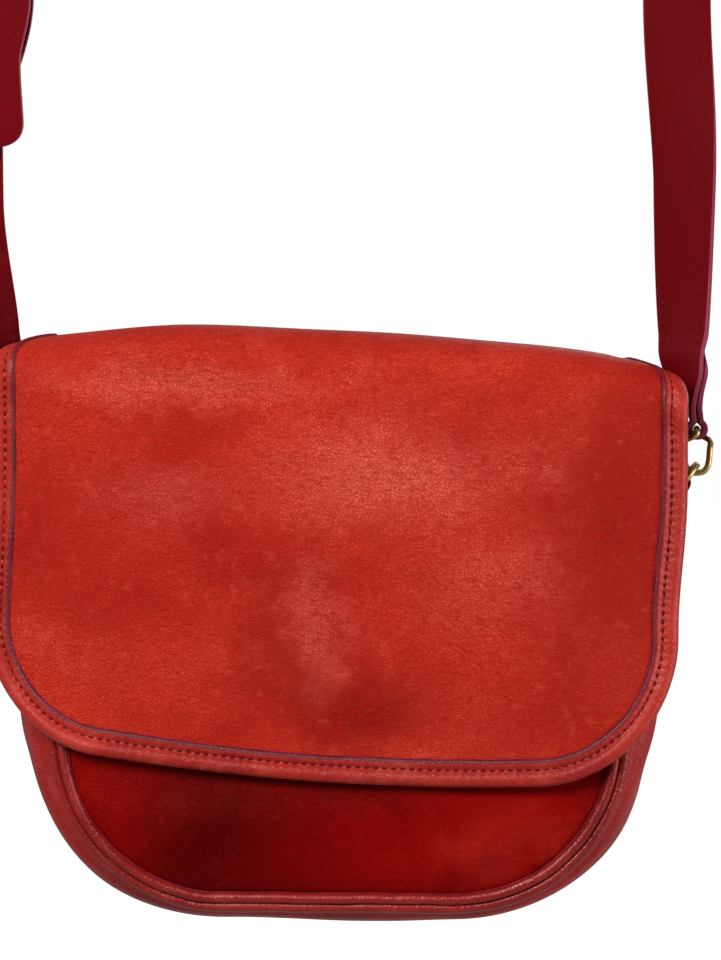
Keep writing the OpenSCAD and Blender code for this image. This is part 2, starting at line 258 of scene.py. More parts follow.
def cut_edge(name, base, dark):
    """The raw or painted edge of a strip: fibrous, matt, in fine layers."""
    m, t, bsdf = new_material(name)
    vec = rest_coords(t)
    fibre = noise(t, vec, 700.0, 4.0, 0.65)
    cloud = noise(t, vec, 90.0, 3.0)
    color = mix_rgb(t, ramp(t, cloud, 0.35, 0.7), base, dark)
    color = mix_rgb(t, ramp(t, fibre, 0.45, 0.7, 0.0, 0.5), color, tuple(0.5 * c for c in dark))
    t.links.new(color, bsdf.inputs["Base Color"])
    rough_up(t, bsdf, 0.6, 0.0002, fibre)
    t.links.new(ramp(t, fibre, 0.3, 0.7, 0.45, 0.7), bsdf.inputs["Roughness"])
    set_inputs(bsdf, {"Specular IOR Level": 0.2, "Specular Tint": (1.0, 0.5, 0.6, 1.0)})
    return m


def thread(name, base):
    m, t, bsdf = new_material(name)
    vec = rest_coords(t)
    ply = noise(t, vec, 2600.0, 2.0)
    color = mix_rgb(t, ramp(t, ply, 0.35, 0.7), base, tuple(0.45 * c for c in base))
    t.links.new(color, bsdf.inputs["Base Color"])
    rough_up(t, bsdf, 0.7, 0.0001, ply)
    set_inputs(bsdf, {"Roughness": 0.7, "Specular IOR Level": 0.1})
    return m


def metal(name, base, dark, rough=0.28, cad=False, tarnish=0.6):
    """Worn metal: bright where rubbed, darker and rougher where tarnished, with fine scratches."""
    m, t, bsdf = new_material(name)
    vec = rest_coords(t, cad)
    spots = noise(t, vec, 260.0, 5.0, 0.65)
    fine = noise(t, scaled(t, vec, (1.0, 1.0, 6.0)), 1500.0, 3.0)
    age = ramp(t, spots, 0.38, 0.68, 0.0, tarnish)
    t.links.new(mix_rgb(t, age, base, dark), bsdf.inputs["Base Color"])
    roughness = plus(t, times(t, age, 0.3), ramp(t, fine, 0.2, 0.8, rough - 0.06, rough + 0.1))
    t.links.new(roughness, bsdf.inputs["Roughness"])
    height = plus(t, times(t, spots, 0.7), times(t, fine, 0.3))
    rough_up(t, bsdf, 0.35, 0.0001, height)
    bsdf.inputs["Metallic"].default_value = 1.0
    return m


def at(x, y, z):
    return tuple(float(c) for c in bag_frame([x, y, z]))


# Colours of painted light: the two dark reds are painted shade, the pale rose is painted sheen.
DEEP_PAINTED_SHADE = (0.22, 0.005, 0.002)
DARK_PAINTED_SHADE = (0.13, 0.0022, 0.0012)
ROSY_PAINTED_SHEEN = (0.64, 0.130, 0.095)
# Painted light on the flap, each an ellipsoid centre, size in metres, colour and strength: painted shade in
# its folds, round the dent, over the right side and along the roof, and painted sheen where the pale rose is
# used.
FLAP_PAINTED_LIGHT = [
    (at(132, -42, 140), (0.085, 0.10, 0.120), DEEP_PAINTED_SHADE, 0.80),
    (at(108, -42, 150), (0.056, 0.06, 0.085), DARK_PAINTED_SHADE, 0.50),
    (at(80, -42, 74), (0.090, 0.10, 0.034), DEEP_PAINTED_SHADE, 0.60),
    (at(-10, -42, 90), (0.048, 0.10, 0.022), DARK_PAINTED_SHADE, 0.85),
    (at(6, -42, 80), (0.042, 0.10, 0.026), DARK_PAINTED_SHADE, 1.00),
    (at(-30, -42, 73), (0.042, 0.10, 0.017), DEEP_PAINTED_SHADE, 0.60),
    (at(20, -14, 227), (0.170, 0.06, 0.016), DEEP_PAINTED_SHADE, 0.75),
    (at(-29, -42, 111), (0.018, 0.10, 0.032), DARK_PAINTED_SHADE, 0.55),
    (at(-40, -42, 141), (0.036, 0.06, 0.020), DEEP_PAINTED_SHADE, 0.40),
    (at(-80, -42, 121), (0.056, 0.06, 0.022), DEEP_PAINTED_SHADE, 0.55),
    (at(-108, -42, 146), (0.036, 0.06, 0.045), DEEP_PAINTED_SHADE, 0.40),
    (at(-53, -42, 188), (0.034, 0.06, 0.022), DEEP_PAINTED_SHADE, 0.35),
    (at(46, -42, 190), (0.050, 0.05, 0.018), DEEP_PAINTED_SHADE, 0.30),
    (at(-60, -42, 205), (0.080, 0.05, 0.014), ROSY_PAINTED_SHEEN, 0.45),
    (at(-66, -42, 164), (0.050, 0.05, 0.020), ROSY_PAINTED_SHEEN, 0.25),
    (at(22, -42, 172), (0.070, 0.05, 0.032), ROSY_PAINTED_SHEEN, 0.55),
    (at(-8, -42, 114), (0.020, 0.05, 0.040), ROSY_PAINTED_SHEEN, 0.36),
    (at(60, -42, 130), (0.045, 0.05, 0.030), ROSY_PAINTED_SHEEN, 0.22),
]
# Painted light on the front panel: near-black painted shade at the lower left and middle, a painted shadow of
# the flap along the panel's top, painted shade beside the right piping, and a painted highlight at the lower
# right.
BODY_PAINTED_LIGHT = [
    (at(-50, -38, 38), (0.062, 0.06, 0.050), (0.024, 0.0004, 0.0004), 0.85),
    (at(8, -38, 50), (0.050, 0.05, 0.022), (0.040, 0.0006, 0.0006), 0.75),
    (at(10, -38, 64), (0.130, 0.05, 0.018), (0.035, 0.0005, 0.0005), 0.75),
    (at(98, -38, 50), (0.020, 0.05, 0.040), (0.060, 0.0008, 0.0008), 0.55),
    (at(64, -38, 24), (0.044, 0.05, 0.018), (0.40, 0.018, 0.012), 0.42),
]
FLAP_RED = leather("flap_red", (0.44, 0.031, 0.015), (0.24, 0.004, 0.002), (0.59, 0.090, 0.056),
                   rough=0.54, grain=1.25, crease=0.9, coat=0.0, spec=0.22,
                   tint=(1.0, 0.26, 0.18), painted_light=FLAP_PAINTED_LIGHT)
# The body's leather: a darker copy of the flap's, painted shade standing in for the shade on the body below
# the flap.
BODY_RED_PAINTED_SHADE = leather("body_red_painted_shade", (0.18, 0.0013, 0.0009), (0.085, 0.0004, 0.0004), (0.28, 0.005, 0.003),
                   rough=0.40, grain=0.6, coat=0.0, crease=0.8, spec=0.14, wear_and_sheen=0.12,
                   tint=(1.0, 0.10, 0.08), painted_light=BODY_PAINTED_LIGHT)
# The gussets' leather: a lighter, pinker copy of the body's, painted sheen standing in for the rim light on
# the sides.
SIDE_RED_PAINTED_SHEEN = leather("gusset_red_painted_sheen", (0.29, 0.009, 0.007), (0.15, 0.002, 0.002), (0.46, 0.070, 0.058),
                   rough=0.42, grain=0.6, patches=9.0, coat=0.03, crease=0.9, spec=0.26,
                   tint=(1.0, 0.55, 0.55))
EDGE_RED = leather("binding_red", (0.34, 0.015, 0.008), (0.18, 0.003, 0.002), (0.50, 0.085, 0.060),
                   rough=0.44, grain=0.6, patches=14.0, coat=0.02, scratch=0.2, spec=0.34,
                   tint=(1.0, 0.62, 0.60))
STRIP_RED = leather("binding_strip_red", (0.14, 0.004, 0.008), (0.08, 0.002, 0.005), (0.24, 0.022, 0.030),
                    rough=0.46, grain=0.6, patches=14.0, coat=0.05, scratch=0.1, spec=0.24)
STRAP_RED = leather("strap_red", (0.13, 0.0020, 0.0036), (0.07, 0.0007, 0.0018), (0.23, 0.007, 0.012),
                    rough=0.56, grain=0.7, patches=12.0, coat=0.0, crease=1.0, spec=0.09,
                    tint=(1.0, 0.22, 0.28))
PIPE_RED = leather("piping_red", (0.21, 0.006, 0.004), (0.11, 0.002, 0.001), (0.34, 0.040, 0.028),
                   rough=0.32, grain=0.5, patches=14.0, coat=0.05, scratch=0.2, spec=0.42,
                   tint=(1.0, 0.6, 0.6))
CUT_EDGE = cut_edge("cut_edge_maroon", (0.19, 0.010, 0.026), (0.08, 0.003, 0.010))
STRAP_EDGE = cut_edge("strap_edge_purple", (0.22, 0.030, 0.055), (0.10, 0.008, 0.018))
SUEDE = suede("suede_lining", (0.34, 0.045, 0.035), (0.20, 0.020, 0.018))
THREAD = thread("thread_dark_red", (0.10, 0.003, 0.004))
BRASS = metal("antique_brass", (0.55, 0.40, 0.16), (0.16, 0.11, 0.045))
BRASS_CAD = metal("antique_brass_cad", (0.55, 0.40, 0.16), (0.16, 0.11, 0.045), cad=True)
STEEL_CAD = metal("snap_steel", (0.62, 0.60, 0.57), (0.25, 0.24, 0.22), rough=0.3, cad=True, tarnish=0.4)


# ------------------------------------------------------------------ mesh helpers

def add_object(name, data):
    o = bpy.data.objects.new(name, data)
    bpy.context.scene.collection.objects.link(o)
    return o


def make_piece(name, verts, faces, mats, face_mats=None, replaces=(), body=None,
               place=bag_frame):
    mesh = bpy.data.meshes.new(name)
    pts = place(verts)
    mesh.from_pydata(pts.tolist(), [], faces)
    mesh.validate()
    mats = mats if isinstance(mats, (list, tuple)) else [mats]
    for m in mats:
        mesh.materials.append(m)
    if face_mats is not None and len(face_mats) == len(mesh.polygons):
        mesh.polygons.foreach_set("material_index", np.asarray(face_mats, np.int32))
    mesh.polygons.foreach_set("use_smooth", np.ones(len(mesh.polygons), bool))
    rest = mesh.attributes.new("rest", "FLOAT_VECTOR", "POINT")
    rest.data.foreach_set("vector", pts.astype(np.float32).ravel())
    o = add_object(name, mesh)
    if replaces:
        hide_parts(*replaces)
    if body:
        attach(o, body)
    return o


def grid_quads(n, m, start=0, close=False, flip=False):
    """Quads of an n by m grid of points, optionally closed in its second direction."""
    out = []
    for i in range(n - 1):
        for j in range(m if close else m - 1):
            k = (j + 1) % m
            q = [start + i * m + j, start + (i + 1) * m + j, start + (i + 1) * m + k, start + i * m + k]
            out.append(q[::-1] if flip else q)
    return out


def grid_normals(p):
    du = np.gradient(p, axis=0)
    dv = np.gradient(p, axis=1)
    return unit(np.cross(du, dv))


def slab(p, normals, thick):
    """A closed sheet: grid p is its outer face, and the inner face lies thick behind it."""
    n, m = p.shape[:2]
    outer = p.reshape(-1, 3)
    inner = (p - normals * thick).reshape(-1, 3)
    verts = np.vstack([outer, inner])
    off = n * m
    faces = grid_quads(n, m) + grid_quads(n, m, off, flip=True)
    front = len(faces) // 2
    ring = ([(i, 0) for i in range(n)] + [(n - 1, j) for j in range(1, m)]
            + [(i, m - 1) for i in range(n - 2, -1, -1)] + [(0, j) for j in range(m - 2, 0, -1)])
    ids = [i * m + j for i, j in ring]
    for a, b in zip(ids, ids[1:] + ids[:1]):
        faces.append([a, a + off, b + off, b])
    mats = [0] * front + [1] * front + [2] * len(ids)
    return verts, faces, mats


def frames_of(path, up):
    """Tangents of a polyline, and the two directions across it, the first close to up."""
    tangent = unit(np.gradient(path, axis=0))
    side = unit(up - tangent * np.sum(up * tangent, axis=1, keepdims=True))
    return tangent, side, np.cross(tangent, side)


def sweep(path, a, b, profile, caps=True, closed=False):
    """A tube: profile (n, k, 2) or (k, 2) laid along path in the directions a and b."""
    n = len(path)
    profile = np.asarray(profile, float)
    if profile.ndim == 2:
        profile = np.repeat(profile[None], n, axis=0)
    k = profile.shape[1]
    pts = path[:, None] + a[:, None] * profile[..., 0:1] + b[:, None] * profile[..., 1:2]
    verts = pts.reshape(-1, 3)
    faces = grid_quads(n, k, close=True)
    if closed:
        for j in range(k):
            faces.append([(n - 1) * k + j, j, (j + 1) % k, (n - 1) * k + (j + 1) % k])
    elif caps:
        faces.append(list(range(k)))
        faces.append([(n - 1) * k + j for j in range(k - 1, -1, -1)])
    return verts, faces


def joined(*parts):
    verts, faces, off = [], [], 0
    for v, f in parts:
        verts.append(v)
        faces += [[i + off for i in q] for q in f]
        off += len(v)
    return np.vstack(verts), faces


def resample(path, step, *more):
    """Even steps along a polyline, with further columns carried along."""
    d = np.concatenate([[0], np.cumsum(np.linalg.norm(np.diff(path, axis=0), axis=1))])
    n = max(2, int(round(d[-1] / step)) + 1)
    s = np.linspace(0, d[-1], n)

    def take(c):
        c = np.asarray(c, float)
        if c.ndim == 1:
            return np.interp(s, d, c)
        return np.stack([np.interp(s, d, c[:, i]) for i in range(c.shape[1])], axis=1)

    return (s, take(path)) + tuple(take(c) for c in more)


def circle_profile(r, k):
    a = np.linspace(0, 2 * np.pi, k, endpoint=False)
    return np.stack([r * np.cos(a), r * np.sin(a)], axis=1)


def stitch_run(path, normals, pitch=3.4, length=2.3, r=0.36, sink=0.05, start=1.5, k=6):
    """Thread showing between the holes of a seam: short rounded stitches along a polyline."""
    s, p, nrm = resample(path, 0.35, normals)
    total = s[-1]
    parts = []
    prof_t = np.array([-0.5, -0.42, -0.22, 0.0, 0.22, 0.42, 0.5])
    prof_r = np.array([0.25, 0.75, 1.0, 1.02, 1.0, 0.75, 0.25])
    lift = np.array([-0.9, -0.25, 0.1, 0.18, 0.1, -0.25, -0.9])
    ang = np.linspace(0, 2 * np.pi, k, endpoint=False)
    x = start
    while x + length < total:
        at = np.clip(x + length * (prof_t + 0.5), 0, total)
        c = np.stack([np.interp(at, s, p[:, i]) for i in range(3)], axis=1)
        w = unit(np.stack([np.interp(at, s, nrm[:, i]) for i in range(3)], axis=1))
        t = unit(c[-1] - c[0])
        side = unit(np.cross(np.repeat(t[None], len(c), 0), w))
        c = c + w * (lift * r - sink)[:, None]
        ring = (c[:, None] + side[:, None] * (np.cos(ang) * r)[None, :, None] * prof_r[:, None, None]
                + w[:, None] * (np.sin(ang) * r)[None, :, None] * prof_r[:, None, None])
        v = ring.reshape(-1, 3)
        f = grid_quads(len(c), k, close=True)
        f.append(list(range(k)))
        f.append([(len(c) - 1) * k + j for j in range(k - 1, -1, -1)])
        parts.append((v, f))
        x += pitch
    return joined(*parts)


def sewn(name, runs, body=None, place=bag_frame):
    """One piece of thread, made of several runs of stitches."""
    v, f = joined(*runs)
    return make_piece(name, v, f, THREAD, body=body, place=place)


def sheet_piece(name, p, outward, thick, mats, replaces=(), body="bag", place=bag_frame):
    """A sheet whose outer face is the grid p and looks towards +Y or -Y."""
    n = grid_normals(p)
    n[n[..., 1] * outward < 0] *= -1
    verts, faces, kinds = slab(p, n, thick)
    if outward > 0:
        faces = [q[::-1] for q in faces]
    return make_piece(name, verts, faces, mats, kinds, replaces, body, place)


def strap_piece(name, verts, faces, replaces, body="strap", place=strap_frame):
    make_piece(name, verts, faces, STRAP_RED, replaces=replaces, body=body,
               place=place)


def closed_loop(points, step):
    """Even steps round a closed polyline."""
    return resample(np.vstack([points, points[:1]]), step)[1][:-1]


def loop_tangents(c):
    return unit(np.roll(c, -1, 0) - np.roll(c, 1, 0))


def even(direction, n):
    """The same direction at n points."""
    return np.repeat([np.asarray(direction, float)], n, axis=0)


# ------------------------------------------------------------------ camera, light, floor

VIEW_X = 9.2
VIEW_Z = 170.0
VIEW_DISTANCE = 1.5
VIEW_HEIGHT = 0.3725
VIEW_AZ = math.radians(3.0)
VIEW_EL = math.radians(2.5)


def make_camera():
    cam = bpy.data.cameras.new("camera")
    o = add_object("camera", cam)
    target = Vector(bag_frame([VIEW_X, -40.0, VIEW_Z]).tolist())
    back = Vector((math.sin(VIEW_AZ) * math.cos(VIEW_EL), -math.cos(VIEW_AZ) * math.cos(VIEW_EL),
                   math.sin(VIEW_EL)))
    o.location = target + back * VIEW_DISTANCE
    o.rotation_mode = "QUATERNION"
    o.rotation_quaternion = (-back).to_track_quat("-Z", "Y")
    cam.sensor_width = 36.0
    cam.lens = 36.0 * VIEW_DISTANCE / VIEW_HEIGHT
    cam.clip_start, cam.clip_end = 0.01, 50.0
    bpy.context.scene.camera = o


def area_light(name, where, aim, size, power, color):
    data = bpy.data.lights.new(name, "AREA")
    data.shape = "RECTANGLE"
    data.size, data.size_y = size
    data.energy = power
    data.color = color
    o = add_object(name, data)
    o.location = where
    o.rotation_mode = "QUATERNION"
    o.rotation_quaternion = (Vector(aim) - Vector(where)).to_track_quat("-Z", "Y")


def make_studio():
    world = bpy.data.worlds.new("studio")
    bpy.context.scene.world = world
    world.use_nodes = True
    t = world.node_tree
    facing = put(t, "SeparateXYZ", i0=put(t, "TexCoord", out=0))
    depth, height = facing.node.outputs[1], facing.node.outputs[2]
    glow = plus(t, ramp(t, height, -0.2, 0.9, 0.09, 0.26), ramp(t, depth, 0.0, 1.0, 0.0, 0.30))
    seen = put(t, "LightPath")
    t.nodes["Background"].inputs[0].default_value = (1, 1, 1, 1)
    strength = put(t, "Mix", i0=seen, i2=glow, i3=1.0)
    t.links.new(strength, t.nodes["Background"].inputs[1])
    mid = bag_frame([0, 0, 130]).tolist()
    # Name, place seen from the middle of the bag's height, side in metres, watts and colour
    for name, (x, y, z), side, power, color in (
            ("key", (-0.62, -1.25, 0.78), 0.6, 35.0, (1.0, 0.98, 0.95)),
            ("fill", (1.50, -0.42, 0.10), 0.8, 22.0, (1, 1, 1)),
            ("rear", (0.6, 1.3, 0.5), 0.9, 6.0, (1, 1, 1)),
            ("side", (-1.4, 0.6, 0.3), 0.8, 4.0, (1, 1, 1))):
        area_light(name, (x, y, mid[2] + z), mid, (side, side), power, color)
    floor_z = bag_frame([0, 0, -300.0])[2]
    mesh = bpy.data.meshes.new("floor")
    mesh.from_pydata([(-9, -9, floor_z), (9, -9, floor_z), (9, 9, floor_z), (-9, 9, floor_z)], [],
                     [(0, 1, 2, 3)])
    floor = add_object("floor", mesh)
    m, t, bsdf = new_material("floor_pale")
    set_inputs(bsdf, {"Base Color": (0.35, 0.35, 0.35, 1), "Roughness": 0.9,
                      "Emission Color": (1, 1, 1, 1)})
    t.links.new(times(t, put(t, "LightPath"), 0.95), bsdf.inputs["Emission Strength"])
    mesh.materials.append(m)
    bpy.context.scene.view_settings.view_transform = "Standard"
    bpy.context.scene.view_settings.look = "None"


make_camera()
make_studio()

# ------------------------------------------------------------------ the flap

FLAP_T = 2.4
BACK_Y = 38.4 - FLAP_T / 2
FACE_Y = -41.2 + FLAP_T / 2
ROLL_R = 15.0 - FLAP_T / 2
ROOF_Z = 225.0 - FLAP_T / 2
HINGE_Z = 206.0
V_BACK = ROOF_Z - ROLL_R - HINGE_Z
V_ARC = ROLL_R * np.pi / 2
V_ROOF = (BACK_Y - ROLL_R) - (FACE_Y + ROLL_R)
V2 = V_BACK + V_ARC
V3 = V2 + V_ROOF
V4 = V3 + V_ARC
SNAP_X = (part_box("snap_stud")[0].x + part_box("snap_stud")[1].x) * 500
SNAP_Z = (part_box("snap_stud")[0].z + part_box("snap_stud")[1].z) * 500 - BAG_Z
FACE_TOP = ROOF_Z - ROLL_R
# The flap's two sides, left and right: half width over the roof, high on the face and low
# on the face, heights between which its shoulder widens, and the radius of its low corner
NARROW = np.array([120.0, 121.0])
WIDE = np.array([135.6, 135.4])
LOW_WIDE = np.array([137.8, 132.0])
SHOULDER_LOW = np.array([215.0, 214.0])
SHOULDER_HIGH = np.array([239.0, 242.0])
EDGE_R = np.array([43.0, 53.5])


def flap_profile(v):
    """Y and Z of the flap's middle line at length v from its back edge."""
    v = np.asarray(v, float)
    a1 = np.clip((v - V_BACK) / ROLL_R, 0, np.pi / 2)
    a2 = np.clip((v - V3) / ROLL_R, 0, np.pi / 2)
    y = (BACK_Y - ROLL_R * (1 - np.cos(a1)) - np.clip(v - V2, 0, V_ROOF) - ROLL_R * np.sin(a2))
    z = (HINGE_Z + np.clip(v, 0, V_BACK) + ROLL_R * np.sin(a1) - ROLL_R * (1 - np.cos(a2))
         - np.clip(v - V4, 0, None))
    return y, z


def flap_width(v, side):
    """Half width of the flap at length v on its left (side < 0) or right half."""
    i = (np.asarray(side) > 0).astype(int)
    v = np.asarray(v, float)
    z = FACE_TOP - (v - V4)
    t = np.clip((z - SHOULDER_LOW[i]) / (SHOULDER_HIGH[i] - SHOULDER_LOW[i]), 0, 1)
    wide = NARROW[i] + (WIDE[i] - NARROW[i]) * (1 - t ** 2.2) ** 0.62
    return wide - (WIDE[i] - LOW_WIDE[i]) * smooth((182.0 - z) / 70.0)


def flap_edge_v(u):
    """Length v of the flap's bottom edge at the side-to-side share u."""
    u = np.asarray(u, float)
    i = (u > 0).astype(int)
    x = u * LOW_WIDE[i]
    low = 51.2 + 0.00056 * (x - 50.0) ** 2
    out = np.clip(np.abs(x) - (LOW_WIDE[i] - EDGE_R[i]), 0, EDGE_R[i])
    z = low + EDGE_R[i] - np.sqrt(np.maximum(EDGE_R[i] ** 2 - out ** 2, 0))
    return V4 + FACE_TOP - z


def flap_point(x, v):
    """The flap's middle surface: a soft sheet that droops, dents and curls a little."""
    x, v = np.broadcast_arrays(np.asarray(x, float), np.asarray(v, float))
    y, z = flap_profile(v)
    s = np.clip((x + 58.0) / 181.0, 0, 1.1)
    left = np.clip((-66.0 - x) / 60.0, 0, 1.2)
    droop = -(9.0 * s ** 1.5 + 6.2 * s ** 4) - 5.4 * left ** 1.4
    free = smooth(v / (V2 * 0.85))
    inside = flap_width(v, x) - np.abs(x)
    brow = 5.4 * np.clip(1 - inside / 18.0, 0, 1.2) ** 2.3 * smooth((z - 198.0) / 12.0)
    z = z + (droop * smooth((z - 95.0) / 105.0) + 5.0 * smooth((z - 150.0) / 60.0) - brow) * free
    roof = bump(y - (-1.0), 30.0) * smooth((z - 195) / 15)
    z = z - roof * (0.8 + 0.7 * np.sin(x / 31.0 + 0.7)) + 0.35 * roof * np.sin(x / 12.0)
    face = smooth((v - V3) / (V4 - V3 + 12.0))
    y = y + face * 5.5 * smooth((np.abs(x) - 108.0) / 30.0)
    y = y - face * (2.2 * bump(x + 20, 75) * bump(z - 168, 40) + 1.8 * bump(x - 74, 42) * bump(z - 125, 48)
                    + 1.6 * bump(x + 84, 34) * bump(z - 110, 40))
    ring = np.hypot(x - SNAP_X, z - SNAP_Z)
    off_snap = smooth((ring - 8.0) / 13.0)
    y = y + face * off_snap * (1.7 * bump(x + 8, 20) * bump(z - 92, 17)
                               + 1.3 * bump(x + 12, 11) * bump(z - 116, 26)
                               + 1.0 * bump(x - 12, 15) * bump(z - 72, 10)
                               + 1.2 * bump(x + 15, 40) * bump(z - 128, 9))
    y = y - face * (1 - smooth((ring - 3.0) / 18.0)) * 0.5
    y = y + face * off_snap * (0.65 * np.sin(x / 33.0 + 1.1) * np.sin(z / 27.0 + 0.3)
                               + 0.34 * np.sin(x / 14.0 + 0.04 * z) * np.sin(z / 19.0 + 1.9)
                               + 0.5 * bump(x + 75, 45) * np.sin((z + 0.15 * x) / 3.4) * bump(z - 206, 12)
                               + 0.35 * bump(x - 30, 60) * np.sin((z - 0.1 * x) / 4.1) * bump(z - 204, 9))
    y = y - face * 1.6 * smooth((78.0 - z) / 30.0)
    return np.stack([x, y, z], axis=-1)


def flap_frame(x, v):
    """Point, directions along x and v, and outward normal of the flap at x, v."""
    e = 0.4
    px = unit(flap_point(x + e, v) - flap_point(x - e, v))
    pv = unit(flap_point(x, v + e) - flap_point(x, v - e))
    return flap_point(x, v), px, pv, unit(np.cross(pv, px))


def bend_at_fold(o):
    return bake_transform(o)


def flap_outline():
    """The flap's free edge in x and v, with the direction inwards, from the right round to the left."""
    sides = []
    for side in (1.0, -1.0):
        v = np.linspace(0.0, flap_edge_v(side), 400)
        sides.append(np.stack([side * flap_width(v, side), v], axis=1))
    u = np.sin(np.linspace(np.pi / 2, -np.pi / 2, 1200))
    v = flap_edge_v(u)
    low = np.stack([u * flap_width(v, u), v], axis=1)
    pts = np.vstack([sides[0], low[1:-1], sides[1][::-1]])
    s, pts = resample(pts, 0.85)[:2]
    t = unit(np.gradient(pts, axis=0))
    for _ in range(6):
        t[1:-1] = unit(t[:-2] + t[1:-1] * 2 + t[2:])
    inward = np.stack([-t[:, 1], t[:, 0]], axis=1)
    return s, pts, inward


def on_flap(pts, inward, d, h):
    """Points at distance d inside the flap's edge and h above its middle surface."""
    q = pts + inward * np.asarray(d, float).reshape(-1, 1)
    p, _, _, n = flap_frame(q[:, 0], q[:, 1])
    return p + n * np.asarray(h, float).reshape(-1, 1), n


def make_flap():
    nu, nt = 150, 190
    u = np.sin(np.linspace(-np.pi / 2, np.pi / 2, nu))
    t = np.linspace(0, 1, nt)
    uu, tt = np.meshgrid(u, t, indexing="ij")
    v = tt * flap_edge_v(uu)
    x = uu * (flap_width(v, uu) - UNDER_BINDING)
    v = v - UNDER_BINDING * tt ** 8
    p, _, _, n = flap_frame(x, v)
    verts, faces, mats = slab(p + n * FLAP_T / 2, n, FLAP_T)
    o = make_piece("flap_leather", verts, faces, [FLAP_RED, SUEDE, CUT_EDGE], mats,
                   ("flap_top", "flap_front"))
    bend_at_fold(o)


BIND_PROFILE = [(9.8, 1.0), (9.85, 1.85), (9.4, 2.15), (8.4, 2.3), (7.3, 2.25), (6.6, 1.9), (6.05, 1.6),
                (5.5, 1.9), (4.7, 2.6), (3.5, 3.15), (2.1, 3.25), (0.9, 2.75), (-0.1, 1.8), (-0.55, 0.6),
                (-0.5, -0.7), (0.1, -1.8), (1.2, -2.5), (3.0, -2.6), (4.9, -2.3), (6.05, -1.95), (7.3, -2.1),
                (9.3, -2.0), (9.6, -1.1)]
STITCH_D = 6.05
ROLL_FIRST, ROLL_LAST = 3, 17
STITCH_PITCH = 3.5
UNDER_BINDING = 1.6


def make_binding():
    s, pts, inward = flap_outline()
    prof = np.array(BIND_PROFILE)
    k = len(prof)
    wave = 0.5 - 0.5 * np.cos(2 * np.pi * s / STITCH_PITCH)
    thin = 0.4 + 0.6 * smooth(pts[:, 1] / 11.0)
    rings = np.zeros((len(s), k, 3))
    for j, (d, h) in enumerate(prof):
        near = math.exp(-((d - STITCH_D) / 1.3) ** 2)
        drop = 0.46 * near * (1 - wave) if h > 0 else 0.2 * near * (1 - wave)
        dd = d + 0.22 * np.sin(s / 23.0 + 0.5) * (d > 6.5) + 0.10 * np.sin(s / 5.1 + j) * (d > 9)
        dd = dd - 0.22 * (1 - wave) * math.exp(-((d - 4.9) / 0.9) ** 2)
        hh = h - np.sign(h) * drop + 0.12 * np.sin(s / 11.0 + 0.3 * j) * (d < 4)
        rings[:, j] = on_flap(pts, inward, dd, hh * thin)[0]
    verts = rings.reshape(-1, 3)
    n = len(s)
    faces = grid_quads(n, k, close=True, flip=True)
    kinds = [1 if j in (0, k - 1) else 0 if ROLL_FIRST <= j <= ROLL_LAST else 2 for j in range(k)]
    mats = kinds * (n - 1)
    faces.append(list(range(k)))
    faces.append([(n - 1) * k + j for j in range(k - 1, -1, -1)])
    mats += [1, 1]
    o = make_piece("flap_binding_leather", verts, faces, [EDGE_RED, CUT_EDGE, STRIP_RED], mats,
                   ("flap_binding",))
    bend_at_fold(o)
    for tag, level, length, r in (("", 1.5, 2.3, 0.38), ("_back", -1.75, 2.1, 0.36)):
        path, nrm = on_flap(pts, inward, np.full(n, STITCH_D), level * thin)
        run = stitch_run(path, nrm * np.sign(level), STITCH_PITCH, length, r, 0.0, start=0.6)
        bend_at_fold(sewn("flap_binding_stitches" + tag, [run]))
    path, nrm = on_flap(pts, inward, 10.0 + 0.22 * np.sin(s / 23.0 + 0.5), 1.25 * thin)
    _, side, other = frames_of(path, nrm)
    v, f = sweep(path, side, other, circle_profile(0.36, 6))
    o = make_piece("flap_binding_raw_edge", v, f, CUT_EDGE)
    bend_at_fold(o)


# ------------------------------------------------------------------ the body

SIDE_X0 = BOTTOM_HALF + CORNER_R * math.cos(LEAN)
SIDE_Z0 = SEAM_Z + CORNER_R * (1 - math.sin(LEAN))


def side_x(z):
    z = np.maximum(np.asarray(z, float), SIDE_Z0)
    return SIDE_X0 + math.tan(LEAN) * (z - SIDE_Z0) - 0.0003 * (z - SIDE_Z0) ** 2


def settled(p):
    """The body's frame: the front of the mouth hangs lower on the right, as the flap does."""
    p = np.array(p, float)
    share = (smooth((p[..., 0] - 20.0) / 95.0) * smooth((p[..., 2] - 138.0) / 62.0)
             * smooth((14.0 - p[..., 1]) / 44.0))
    p[..., 2] -= MOUTH_SAG * share
    return bag_frame(p)


def seam_path(step=1.6):
    """The seam line in X and Z from the right mouth round to the left, and its outward normals."""
    z = np.linspace(PANEL_TOP, SIDE_Z0, 80)
    side = np.stack([side_x(z), z], axis=1)
    a = np.linspace(-LEAN, -np.pi / 2, 60)
    arc = np.stack([BOTTOM_HALF + CORNER_R * np.cos(a), SEAM_Z + CORNER_R + CORNER_R * np.sin(a)], axis=1)
    half = np.vstack([side, arc[1:], [[BOTTOM_HALF / 2, SEAM_Z]]])
    pts = np.vstack([half, [[0, SEAM_Z]], half[::-1] * [-1, 1]])
    s, pts = resample(pts, step)[:2]
    t = unit(np.gradient(pts, axis=0))
    out = np.stack([-t[:, 1], t[:, 0]], axis=1)
    return s, pts, out


def panel_depth(z):
    """How far the panels lie from the middle plane: the mouth is a little flatter."""
    return HALF_D - 1.6 * smooth((np.asarray(z, float) - 45.0) / 90.0)


